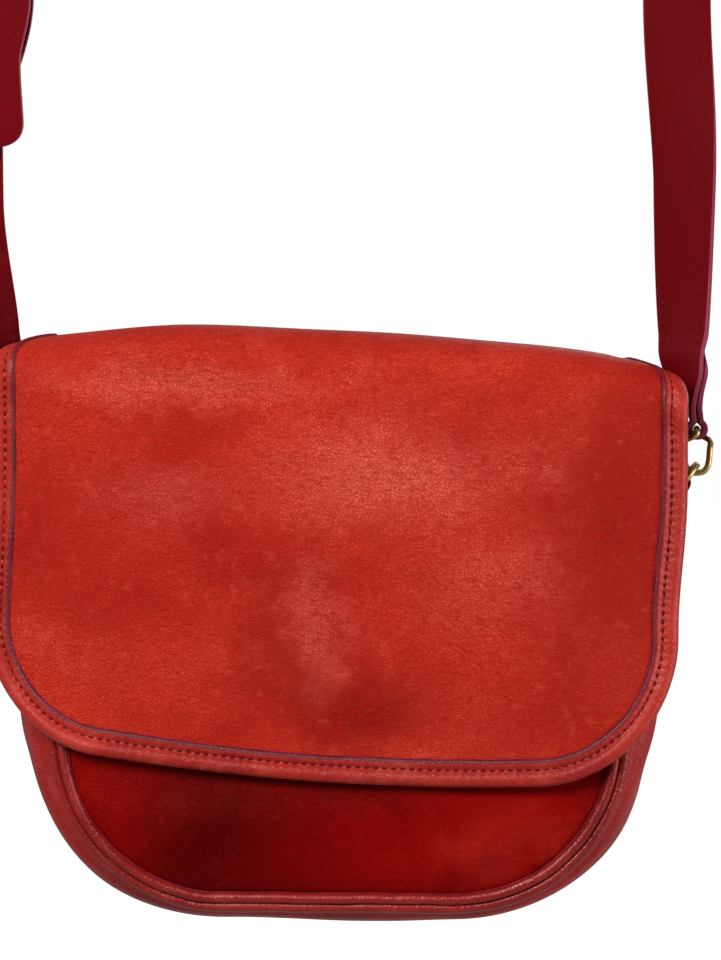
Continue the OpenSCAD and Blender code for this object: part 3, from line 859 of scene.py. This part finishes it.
def panel_grid(nu=110, nt=130):
    u = np.sin(np.linspace(-np.pi / 2, np.pi / 2, nu))
    t = np.linspace(0, 1, nt)
    uu, tt = np.meshgrid(u, t, indexing="ij")
    x_low = uu * SIDE_X0
    out = np.clip(np.abs(x_low) - BOTTOM_HALF, 0, CORNER_R * math.cos(LEAN))
    z_low = SEAM_Z + CORNER_R - np.sqrt(np.maximum(CORNER_R ** 2 - out ** 2, 0))
    z = z_low + (PANEL_TOP - z_low) * tt
    x = uu * side_x(z)
    edge = np.minimum(side_x(z) - np.abs(x), z - z_low)
    return x, z, edge


def make_panels():
    x, z, edge = panel_grid()
    rise = 1 - np.exp(-np.maximum(edge, 0) / 11.0)
    room = 1.0 + 3.6 * (1 - smooth((z - 34.0) / 26.0))
    puff = room * rise - 0.9 * np.exp(-np.maximum(edge, 0) / 2.2)
    puff += (1 - smooth((z - 34.0) / 22.0)) * rise * (
        3.4 * bump((x - 60) * 0.5 - (z - 28) * 0.9, 9) * bump(x - 60, 40)
        - 2.2 * bump(x - 24, 20) * bump(z - 22, 14) + 1.4 * bump(x + 55, 34) * bump(z - 30, 20)
        - 2.0 * bump(x + 90 - z * 0.4, 9) - 1.6 * bump(x - 98 + z * 0.2, 8))
    sheet_piece("front_panel_leather", np.stack([x, -panel_depth(z) - puff, z], axis=-1), -1, PANEL_T,
                [BODY_RED_PAINTED_SHADE, SUEDE, CUT_EDGE], ("front_panel",), "bag", settled)
    puff = 3.4 * (1 - np.exp(-np.maximum(edge, 0) / 22.0)) * (1 - 0.85 * smooth((z - 150) / 45.0))
    puff += 0.6 * np.sin(x / 37.0) * np.sin(z / 31.0 + 0.6) * rise - 0.9 * np.exp(-np.maximum(edge, 0) / 2.2)
    sheet_piece("back_panel_leather", np.stack([x, panel_depth(z) + puff, z], axis=-1), 1, PANEL_T,
                [BODY_RED_PAINTED_SHADE, SUEDE, CUT_EDGE], ("back_panel",), "bag", settled)


def gusset_bulge(z, x):
    """How far the gusset stands out from its seams: it sags below and folds in at the mouth."""
    z = np.asarray(z, float)
    wide = 15.0 + 2.6 * smooth(z / 40.0) + 1.0 * smooth((z - 40.0) / 30.0) - 5.6 * smooth((z - 96.0) / 34.0)
    x = np.asarray(x, float)
    wide = wide - 1.0 * np.tanh(x / 40.0) * smooth(z / 25.0)
    wide = wide - 1.8 * smooth((x - 20.0) / 50.0) * bump(z - 42.0, 42.0)
    wide = wide - 1.9 * bump(x + 32.0, 48.0) * (1 - smooth(z / 24.0))
    return wide * (1 - smooth((z - 168.0) / 32.0)) - 7.0 * smooth((z - 176.0) / 26.0)


def make_gusset():
    s, pts, out = seam_path()
    m = 46
    w = np.linspace(-1, 1, m)
    base = np.zeros((len(s), m, 3))
    z = pts[:, 1]
    bulge = gusset_bulge(z, pts[:, 0])
    side = np.sign(pts[:, 0])
    for j, c in enumerate(w):
        arch = (1 - abs(c) ** 2.3) ** 0.8
        fold = (0.9 * np.sin(s / 13.0 + 2.2 * c) * bump(z - 45, 34)
                + 0.5 * np.sin(s / 6.5 + 4.0 * c + side) * bump(z - 70, 30)
                - 1.4 * bump(c, 0.35) * smooth((z - 150) / 40.0) * 2.0
                + 0.35 * np.sin(s / 21.0 - 1.7 * c)
                + (2.6 * bump(abs(c) - 0.84, 0.07) - 2.0 * bump(abs(c) - 0.68, 0.08)) / (1 - 0.84 ** 3))
        o = bulge * arch + fold * (1 - abs(c) ** 3) - 0.3
        depth = panel_depth(z) - 1.2
        base[:, j, 0] = pts[:, 0] + out[:, 0] * o
        base[:, j, 2] = pts[:, 1] + out[:, 1] * o
        base[:, j, 1] = c * depth
    n = grid_normals(base)
    ref = np.zeros_like(n)
    ref[..., 0] = out[:, None, 0]
    ref[..., 2] = out[:, None, 1]
    flip = np.sum(n * ref, axis=-1) < 0
    n[flip] *= -1
    verts, faces, mats = slab(base, n, LINING_T)
    make_piece("gusset_leather", verts, faces, [SIDE_RED_PAINTED_SHEEN, SUEDE, CUT_EDGE], mats,
               ("gusset",), "bag", settled)


def body_tube(name, path, up, profile, mat, replaces=()):
    """A tube along a seam of the body. The profile's first direction points close to up."""
    _, a, b = frames_of(path, up)
    verts, faces = sweep(path, a, b, profile)
    make_piece(name, verts, faces, mat, replaces=replaces, body="bag", place=settled)


def make_piping(name, sign, node):
    s, pts, out = seam_path(1.0)
    y = sign * (panel_depth(pts[:, 1]) + 0.5)
    rough = 0.10 * np.sin(s / 7.3) + 0.06 * np.sin(s / 3.1 + 1)
    path = np.stack([pts[:, 0] + out[:, 0] * (1.1 + rough), y, pts[:, 1] + out[:, 1] * (1.1 + rough)], axis=1)
    up = np.stack([out[:, 0], np.zeros(len(s)), out[:, 1]], axis=1)
    r = 2.05 * (1 + 0.02 * np.sin(s / 2.3))
    body_tube(name, path, up, circle_profile(1.0, 14) * r[:, None, None], PIPE_RED, (node,))
    # The second roll stops short of the mouth, clear of the folding flap
    ends = slice(12, -12)
    q = (path + up * 3.6 + np.array([0, -sign * 2.4, 0]))[ends]
    r = 2.35 * (1 + 0.05 * np.sin(s / 9.7 + 1.0) + 0.03 * np.sin(s / 4.1))[ends]
    body_tube(name.replace("piping", "gusset_edge"), q, up[ends],
              circle_profile(1.0, 12) * r[:, None, None] * [1.0, 1.15], PIPE_RED)
    # The seam lines: a thin dark cord on both sides of the piping, partly the seam's cut edge and partly
    # painted shade in the groove beside the tube
    for tag, rise, across in (("panel", -2.15, 0.1), ("gusset", 1.1, -1.9)):
        body_tube(name + "_" + tag + "_groove", path + up * rise + np.array([0, sign * across, 0]), up,
                  circle_profile(0.32, 6), CUT_EDGE)


def foot_y(z):
    """The flap's sewn foot: on the back panel below, and in line with the flap's roof above."""
    share = smooth((z - 190.0) / 14.0)
    return (panel_depth(z) + 0.9) * (1 - share) + (BACK_Y + FLAP_T / 2 - 0.2) * share


def make_mouth():
    """The folded strip along the top of the front panel, and the sewn foot of the flap at the back."""
    half = side_x(PANEL_TOP) - 3.0
    x = np.linspace(-half, half, 160)
    wob = 0.25 * np.sin(x / 17.0)
    y = -panel_depth(PANEL_TOP) + 0.2
    path = np.stack([x, np.full_like(x, y) + wob, np.full_like(x, PANEL_TOP - 3.2)], axis=1)
    a, b = even([0, 0, 1], len(x)), even([0, -1, 0], len(x))
    prof = [(-5.6, 0.7), (-5.4, 1.2), (3.0, 1.5), (4.1, 1.1), (4.6, 0.2), (4.6, -1.2), (4.1, -2.1),
            (3.0, -2.6), (-5.4, -2.4), (-5.6, -1.9)]
    v, f = sweep(path, a, b, prof)
    strap_piece("front_mouth_binding", v, f, ("front_mouth_trim",), "bag", settled)
    line = path + [0, -1.5, -4.0]
    sewn("front_mouth_stitches", [stitch_run(line, b, 3.5, 2.2, 0.33)], "bag", settled)
    half = NARROW.min() - 1.0
    x = np.linspace(-half, half, 160)
    z = np.linspace(186.0, HINGE_Z + 0.5, 24)
    xx, zz = np.meshgrid(x, z, indexing="ij")
    yy = foot_y(zz) + 0.7 * smooth((zz - 186.0) / 2.0) + 0.15 * np.sin(xx / 15.0)
    o = sheet_piece("flap_foot", np.stack([xx, yy, zz], axis=-1), 1, LINING_T, [FLAP_RED, SUEDE, CUT_EDGE],
                    body=None)
    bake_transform(o)
    for row, zr in enumerate((189.5, 193.5)):
        y = np.full_like(x, foot_y(zr) + 0.7) + 0.15 * np.sin(x / 15.0)
        line = np.stack([x, y, np.full_like(x, zr)], axis=1)
        sewn(f"flap_foot_stitches_{row + 1}", [stitch_run(line, even([0, 1, 0], len(x)), 3.5, 2.3, 0.34)],
             "bag")


def make_pocket():
    w, z0, z1 = 85.0, 68.0, 160.0
    x = np.linspace(-w, w, 90)
    z = np.linspace(z0, z1, 60)
    xx, zz = np.meshgrid(x, z, indexing="ij")

    def front_y(x, z):
        edge = np.minimum(np.minimum(w - np.abs(x), z - z0), 12.0)
        return HALF_D - 2.0 - 3.6 + 1.6 * np.exp(-edge / 4.0)

    yy = front_y(xx, zz) - 0.5 * bump(xx, 50) * smooth((zz - 110) / 50.0)
    sheet_piece("pocket_leather", np.stack([xx, yy, zz], axis=-1), -1, 1.3, [SUEDE, SUEDE, CUT_EDGE],
                ("inner_pocket",))
    line = np.array([[-w + 3, z1 - 2], [-w + 3, z0 + 3], [w - 3, z0 + 3], [w - 3, z1 - 2]])
    _, q = resample(line, 0.7)[:2]
    path = np.stack([q[:, 0], front_y(q[:, 0], q[:, 1]), q[:, 1]], axis=1)
    sewn("pocket_stitches", [stitch_run(path, even([0, -1, 0], len(path)), 3.2, 2.0, 0.3)], "bag")


# ------------------------------------------------------------------ straps, tabs and brass

RING_TILT = math.radians(50.0)
BAR_X = 134.6
RING_Z = 168.0
RING_REACH = 9.0
WIRE_R = 1.25
LINK_X = BAR_X + RING_REACH * math.cos(RING_TILT)
LINK_LOW = RING_Z + RING_REACH * math.sin(RING_TILT) - 2 * WIRE_R - 0.3
LINK_LEN = 17.0
LOOP_Z = LINK_LOW + LINK_LEN
STRAP_X = 135.5
STRAP_W = 26.6
STRAP_T = 3.0
END_W = 13.0
ARC_Z = 550.0
TAIL_Z = 300.0
BUCKLE_Z = 402.0
TAIL_Y = -8.6
LAP = 30.0
TIP = 11.0
HOLE_Z = 404.5
HOLE_PITCH = 20.0
HOLE_R = 1.8
PRONG_HOLE_R = 2.9
THIN_BAND = 0.9
TAIL_DRIFT = -4.2
BOW = 12.8


def strap_turn(z, side=-1):
    """Angle of the strap's width from X, as drawn on the right: its lower twist and its upper one."""
    z = np.asarray(z, float)
    above = np.maximum(z - LOOP_Z - 6, 0)
    low = 0.66 * np.exp(-above / 122.0) + 0.34 * np.exp(-above / 12.0) if side > 0 else np.exp(-above / 38.0)
    low = low * (1 - 0.75 * smooth((z - 285.0) / 75.0))
    return np.radians(90 * smooth((z - 440.0) / 100.0) - 90 * low)


def strap_axes(z, side):
    """Directions along and across the strap's width at height z."""
    a = float(strap_turn(z, side))
    return np.array([math.cos(a), math.sin(a), 0.0]), np.array([math.sin(a), -math.cos(a), 0.0])


def strap_run_x(z):
    z = np.asarray(z, float)
    return LINK_X + (STRAP_X - LINK_X) * smooth((z - LOOP_Z) / 34.0) - 0.6 * bump(z - 240.0, 62.0)


def lean_in(z):
    """How far the long piece leans towards the middle above the bag."""
    return -3.6 * float(smooth((z - 285.0) / 75.0) * (1 - smooth((z - 374.0) / 90.0)))


def strap_half(z):
    return END_W / 2 + (STRAP_W - END_W) / 2 * smooth((np.asarray(z, float) - LOOP_Z - 8) / 14.0)


def band_profile(hw, ht, k=5):
    """A strap's section: soft rounded edges, faces a little crowned. hw and ht are arrays."""
    hw, ht = np.asarray(hw, float), np.asarray(ht, float)
    pts = []
    for sx, sy in ((1, 1), (-1, 1), (-1, -1), (1, -1)):
        corner = np.linspace(0, np.pi / 2, k)
        if sx * sy < 0:
            corner = corner[::-1]
        for a in corner:
            r = ht * 0.55
            pts.append(np.stack([sx * (hw - r + r * np.cos(a)), sy * (ht - r + r * np.sin(a))], axis=-1))
        if sx * sy > 0:
            for share in (0.9, 0.6, 0.0, -0.6, -0.9):
                crown = 0.12 * (1 - share ** 2)
                pts.append(np.stack([sx * share * (hw - ht), sy * (ht + crown)], axis=-1))
    return np.stack(pts, axis=1)


def edge_faces(k_total, n_st, k=5):
    """Which faces of a swept band lie on its two edges."""
    edges = set()
    per = [k, 5, k, k, 5, k]
    at = 0
    spans = []
    for c in per:
        spans.append((at, at + c))
        at += c
    first, left_a, left_b, right_b = spans[0], spans[2], spans[3], spans[5]
    for j in range(k_total):
        if (first[0] <= j < first[1] - 2 or left_a[0] + 1 < j < left_b[1] - 2
                or right_b[0] + 1 < j < right_b[1]):
            edges.add(j)
    return [1 if (q % k_total) in edges else 0 for q in range((n_st - 1) * k_total)]


def flat_band(c, w, n, hw, ht, closed=False):
    """A band along c, hw and ht to each side in the directions w and n."""
    full = np.ones(len(c))
    return sweep(c, w, n, band_profile(hw * full, ht * full), closed=closed)


def end_stations(side, top):
    """Stations of a strap's lower end: the short lapped tail, round the link's bar, and up to z = top."""
    layer = STRAP_T / 2 * 0.82
    eye = 1.75 + layer
    st = []

    def add(z, off, half, thick):
        w, nrm = strap_axes(z, side)
        c = np.array([strap_run_x(z), 0.0, z]) + nrm * off
        st.append((c, w, half, thick))

    for z in np.linspace(LOOP_Z + LAP, LOOP_Z + 7.5, 24):
        skive = float(smooth((LOOP_Z + LAP - z) / 12.0))
        add(float(z), -layer * (1.35 - 0.2 * skive), float(strap_half(z)) - 1.8 * (1 - skive) ** 2 - 0.5,
            layer * (0.12 + 0.88 * skive))
    a0 = math.radians(118.0)
    for a in np.linspace(a0, 2 * np.pi + np.pi - a0, 22):
        c = np.array([LINK_X - eye * math.cos(a), 0.0, LOOP_Z + eye * math.sin(a)])
        st.append((c, np.array([0.0, -1.0, 0.0]), END_W / 2, layer))
    for z in np.arange(LOOP_Z + 7.5, top, 2.0):
        grow = float(smooth((z - LOOP_Z - LAP + 2) / 10.0))
        off = layer * 1.15 * (1 - grow)
        add(float(z), off, float(strap_half(z)), layer + (STRAP_T / 2 - layer) * grow)
    return st


def mirror_station(s):
    c, w, half, thick = s
    return (c * [-1, 1, 1], w * [-1, 1, 1], half, thick)


def band_from(name, stations, replaces=()):
    c = np.array([s[0] for s in stations])
    w = unit(np.array([s[1] for s in stations]))
    hw = np.array([s[2] for s in stations])
    ht = np.array([s[3] for s in stations])
    t = unit(np.gradient(c, axis=0))
    w = unit(w - t * np.sum(w * t, axis=1, keepdims=True))
    n = np.cross(t, w)
    prof = band_profile(hw, ht)
    verts, faces = sweep(c, w, n, prof)
    k = prof.shape[1]
    fm = edge_faces(k, len(c)) + [1, 1]
    o = make_piece(name, verts, faces, [STRAP_RED, STRAP_EDGE], fm, replaces, "strap",
                   strap_frame)
    return o, c, w, n, hw, ht


def cut_holes(o, spots, depth):
    """Punches round holes right through a band: spots are centre, direction and radius."""
    parts = []
    for c, axis, r in spots:
        _, a, b = frames_of(np.array([c, c + axis]), even([0, 0, 1], 2))
        path = np.array([c - axis * depth, c + axis * depth])
        parts.append(sweep(path, a, b, circle_profile(r, 24)))
    v, f = joined(*parts)
    cutter = make_piece(o.name + "_cutter", v, f, o.data.materials[1], place=strap_frame)
    mod = o.modifiers.new("holes", "BOOLEAN")
    mod.operation = "DIFFERENCE"
    mod.solver = "EXACT"
    mod.object = cutter
    cut = bpy.data.meshes.new_from_object(o.evaluated_get(bpy.context.evaluated_depsgraph_get()))
    o.modifiers.remove(mod)
    o.data = cut
    bpy.data.objects.remove(cutter)


def band_stitches(name, c, w, n, hw, ht, inset, start_i, end_i):
    parts = []
    sl = slice(start_i, end_i)
    for sx in (1, -1):
        for sy in (1, -1):
            line = c[sl] + w[sl] * (sx * (hw[sl] - inset))[:, None] + n[sl] * (sy * (ht[sl] + 0.04))[:, None]
            parts.append(stitch_run(line, n[sl] * sy, 3.7, 2.5, 0.34, 0.02))
    sewn(name, parts, "strap", strap_frame)


def make_straps():
    right = [(c + [lean_in(c[2]), 0, 0], w, half, thick) for c, w, half, thick in end_stations(1, ARC_Z)]
    arc = []
    for a in np.radians(np.arange(0, 181, 2.5)):
        arc.append((np.array([STRAP_X * math.cos(a), 0.0, ARC_Z + STRAP_X * math.sin(a)]),
                    np.array([0.0, 1.0, 0.0]), STRAP_W / 2, STRAP_T / 2))

    def left_run(z, half):
        a = np.pi - strap_turn(z)
        y = TAIL_Y * float(smooth((470.0 - z) / 50.0))
        drift = TAIL_DRIFT * float(smooth((359.5 - z) / 26.0) * (1 - 0.35 * smooth((334.0 - z) / 34.0)))
        return (np.array([-STRAP_X + drift, y, z]), np.array([math.cos(a), math.sin(a), 0.0]), half,
                STRAP_T / 2)

    left = [left_run(float(z), STRAP_W / 2) for z in np.arange(ARC_Z - 2.0, TAIL_Z + TIP - 0.5, -2.0)]
    for f in np.sin(np.linspace(0.05, 1.0, 16) * np.pi / 2):
        left.append(left_run(TAIL_Z + TIP * (1 - f), STRAP_W / 2 * (1 - 0.985 * f ** 2.8) ** 0.42))
    stations = right + arc + left
    o, c, w, n, hw, ht = band_from("long_strap_leather", stations, ("long_strap",))
    holes = [(left_run(HOLE_Z + HOLE_PITCH * k, STRAP_W / 2)[0], np.array([0.0, 1.0, 0.0]),
              PRONG_HOLE_R if k == 0 else HOLE_R) for k in range(-3, 4)]
    cut_holes(o, holes, 3.0)
    band_stitches("long_strap_stitches", c, w, n, hw, ht, 3.6, len(end_stations(1, LOOP_Z + LAP)),
                  len(c) - 18)
    short = []
    for c, w, half, thick in end_stations(-1, BUCKLE_Z - 5.0):
        bow = BOW * float(smooth((c[2] - 186.0) / 94.0) * (1 - smooth((c[2] - 304.0) / 56.0)))
        short.append(mirror_station((c + [bow, 0, 0], w, half, thick)))
    fold_r = 1.9 + STRAP_T / 2 + 0.1
    o, c, w, n, hw, ht = band_from("short_strap_leather", short)
    band_stitches("short_strap_stitches", c, w, n, hw, ht, 3.6, len(end_stations(1, LOOP_Z + LAP)),
                  len(c) - 2)
    make_buckle_fold(fold_r)
    for side, tag in ((1, "right"), (-1, "left")):
        z = np.linspace(LOOP_Z + 9.0, LOOP_Z + LAP - 3.0, 30)
        parts = []
        for sx in (-1, 1):
            for face in (-1, 1):
                line, nn = [], []
                for zz in z:
                    wv, nv = strap_axes(zz, side)
                    p = (np.array([float(strap_run_x(zz)), 0.0, zz]) + wv * sx * (float(strap_half(zz)) - 2.6)
                         + nv * face * 2.05)
                    if side < 0:
                        p, nv = p * [-1, 1, 1], nv * [-1, 1, 1]
                    line.append(p)
                    nn.append(nv * face)
                parts.append(stitch_run(np.array(line), np.array(nn), 3.2, 2.2, 0.33, 0.0))
        sewn(tag + "_loop_stitches", parts, "strap", strap_frame)


def make_buckle_fold(r):
    """The short piece's top end: slotted, folded round the buckle's heel bar and sewn down."""
    parts = []
    half = STRAP_W / 2
    layer = 1.0
    for x0, x1 in ((-half, -3.0), (3.0, half)):
        cx, hw = (x0 + x1) / 2, (x1 - x0) / 2
        st = []
        for a in np.linspace(math.radians(-70), math.radians(250), 30):
            st.append([-STRAP_X + cx, (r - 0.4) * math.cos(a + np.pi),
                       BUCKLE_Z + (r - 0.4) * math.sin(a)])
        c = np.array(st)
        w = even([1, 0, 0], len(c))
        t = unit(np.gradient(c, axis=0))
        parts.append(flat_band(c, w, np.cross(t, w), hw, layer))
    z = np.linspace(BUCKLE_Z - 34.0, BUCKLE_Z - 3.2, 24)
    for side in (-1.0, 1.0):
        y = side * 1.75 + side * 0.9 * smooth((z - BUCKLE_Z + 9.0) / 6.0)
        c = np.stack([np.full_like(z, -STRAP_X), y, z], axis=1)
        w, n = even([1, 0, 0], len(c)), even([0, 1, 0], len(c))
        parts.append(flat_band(c, w, n, half, THIN_BAND))
    v, f = joined(*parts)
    strap_piece("buckle_fold_leather", v, f, ("short_strap",))
    zz = np.linspace(BUCKLE_Z - 32.0, BUCKLE_Z - 8.0, 30)
    parts = []
    for sx in (-1, 1):
        for sy in (-1, 1):
            line = np.stack([np.full_like(zz, -STRAP_X + sx * (half - 3.6)), np.full_like(zz, sy * 2.75), zz],
                            axis=1)
            parts.append(stitch_run(line, even([0, sy, 0], len(zz)), 3.4, 2.3, 0.33))
    sewn("buckle_fold_stitches", parts, "strap", strap_frame)


def make_keeper():
    lo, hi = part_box("strap_keeper")
    cx, cy, cz = [(a + b) * 500 for a, b in zip(lo, hi)]
    hx, hy = (hi.x - lo.x) * 500 - 0.9, (hi.y - lo.y) * 500 - 0.9
    hz = (hi.z - lo.z) * 500
    r = 2.4
    pts = []
    for sx, sy, a0 in ((1, 1, 0), (-1, 1, 90), (-1, -1, 180), (1, -1, 270)):
        for a in np.radians(np.linspace(a0, a0 + 90, 8)):
            pts.append([cx + sx * (hx - r) + r * math.cos(a), cy + sy * (hy - r) + r * math.sin(a), cz])
    c = closed_loop(np.array(pts), 1.2)
    w = even([0, 0, 1], len(c))
    verts, faces = flat_band(c, w, np.cross(loop_tangents(c), w), hz, THIN_BAND, closed=True)
    strap_piece("keeper_leather", verts, faces, ("strap_keeper",), "keeper", row_frame)


def tab_x(z):
    """X of the tab at the height z above the ring's bar: it leans in towards the gusset."""
    return BAR_X + (-5.6 + 3.4 * smooth((z + 33.0) / 30.0))


def make_tabs():
    for side, tag in ((1, "right"), (-1, "left")):
        eye = 1.6 + 0.9
        pts = []
        for z in np.linspace(-33.0, -6.0, 14):
            pts.append([tab_x(z) + 1.9, 0.0, RING_Z + z])
        for a in np.radians(np.linspace(-30, 210, 22)):
            pts.append([BAR_X + eye * math.cos(a), 0.0, RING_Z + eye * math.sin(a)])
        for z in np.linspace(-6.0, -30.0, 12):
            pts.append([tab_x(z) + 0.1, 0.0, RING_Z + z])
        c = resample(np.array(pts), 0.8)[1]
        if side < 0:
            c = c * [-1, 1, 1]
        w = even([0, 1, 0], len(c))
        t = unit(np.gradient(c, axis=0))
        s = np.linspace(0, 1, len(c))
        hw = 7.0 * np.sqrt(np.clip(1 - (np.clip(1 - s * 12, 0, 1) * 0.86) ** 2, 0, 1))
        verts, faces = flat_band(c, w, np.cross(t, w), hw, THIN_BAND)
        strap_piece(tag + "_tab_leather", verts, faces, (tag + "_tab",), "bag")
        z = np.linspace(-29.0, -8.0, 30)
        parts = []
        for sy in (-1, 1):
            line = np.stack([side * (tab_x(z) + 2.85), np.full_like(z, sy * 4.8), RING_Z + z], axis=1)
            parts.append(stitch_run(line, even([side, 0, 0.1], len(z)), 3.1, 2.1, 0.33))
        sewn(tag + "_tab_stitches", parts, "bag", strap_frame)


def make_links():
    half_top = END_W / 2 + WIRE_R + 1.6
    half_low = 3.75 + WIRE_R
    a = np.radians(np.linspace(0, 360, 241)[:-1])
    sn, cs = np.sin(a), np.cos(a)
    z = LINK_LOW + LINK_LEN / 2 + LINK_LEN / 2 * np.sign(sn) * np.abs(sn) ** np.where(sn > 0, 0.3, 0.8)
    z = z - 0.45 * smooth((-sn - 0.2) / 0.5)
    half = half_low + (half_top - half_low) * smooth((z - LINK_LOW - 9.5) / (LINK_LEN - 11.0))
    side = half * np.sign(cs) * np.abs(cs) ** np.where(sn > 0, 0.35, 0.6)
    turn = np.radians(90 * (1 - smooth((z - LINK_LOW - 9.5) / (LINK_LEN - 11.0))))
    path = np.stack([side * np.sin(turn), side * np.cos(turn), z], axis=1)
    path = closed_loop(path, 0.55)
    for _ in range(8):
        path = (np.roll(path, 1, 0) + 2 * path + np.roll(path, -1, 0)) / 4
    mid = np.array([0, 0, LINK_LOW + LINK_LEN / 2])
    t = loop_tangents(path)
    out = unit(path - mid)
    p = unit(out - t * np.sum(out * t, axis=1, keepdims=True))
    q = np.cross(t, p)
    for sign, tag in ((1, "right"), (-1, "left")):
        verts, faces = sweep(path + [LINK_X, 0, 0], p, q, circle_profile(WIRE_R * 0.98, 14), closed=True)
        if sign < 0:
            verts = verts * [-1, 1, 1]
            faces = [f[::-1] for f in faces]
        make_piece(tag + "_link_brass", verts, faces, BRASS, replaces=(tag + "_strap_link",),
                   body=tag + "_link", place=strap_frame)


def finish_cad_nodes():
    looks = {"right_ring": BRASS_CAD, "left_ring": BRASS_CAD, "buckle_frame": BRASS_CAD,
             "buckle_prong": BRASS_CAD, "snap_socket": STEEL_CAD, "snap_washer": STEEL_CAD,
             "snap_stud": STEEL_CAD}
    for node, m in looks.items():
        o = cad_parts[node]
        o.data.materials.clear()
        o.data.materials.append(m)
        o.data.polygons.foreach_set("use_smooth", np.ones(len(o.data.polygons), bool))
        bevel = o.modifiers.new("soft_edges", "BEVEL")
        bevel.width = 0.00025
        bevel.segments = 2
        bevel.limit_method = "ANGLE"
        bevel.angle_limit = math.radians(40)
        normals = o.modifiers.new("normals", "WEIGHTED_NORMAL")
        normals.keep_sharp = True


make_flap()
make_binding()
make_panels()
make_gusset()
make_piping("front_piping_leather", -1, "front_piping")
make_piping("back_piping_leather", 1, "back_piping")
make_mouth()
make_pocket()
make_straps()
make_keeper()
make_tabs()
make_links()
finish_cad_nodes()
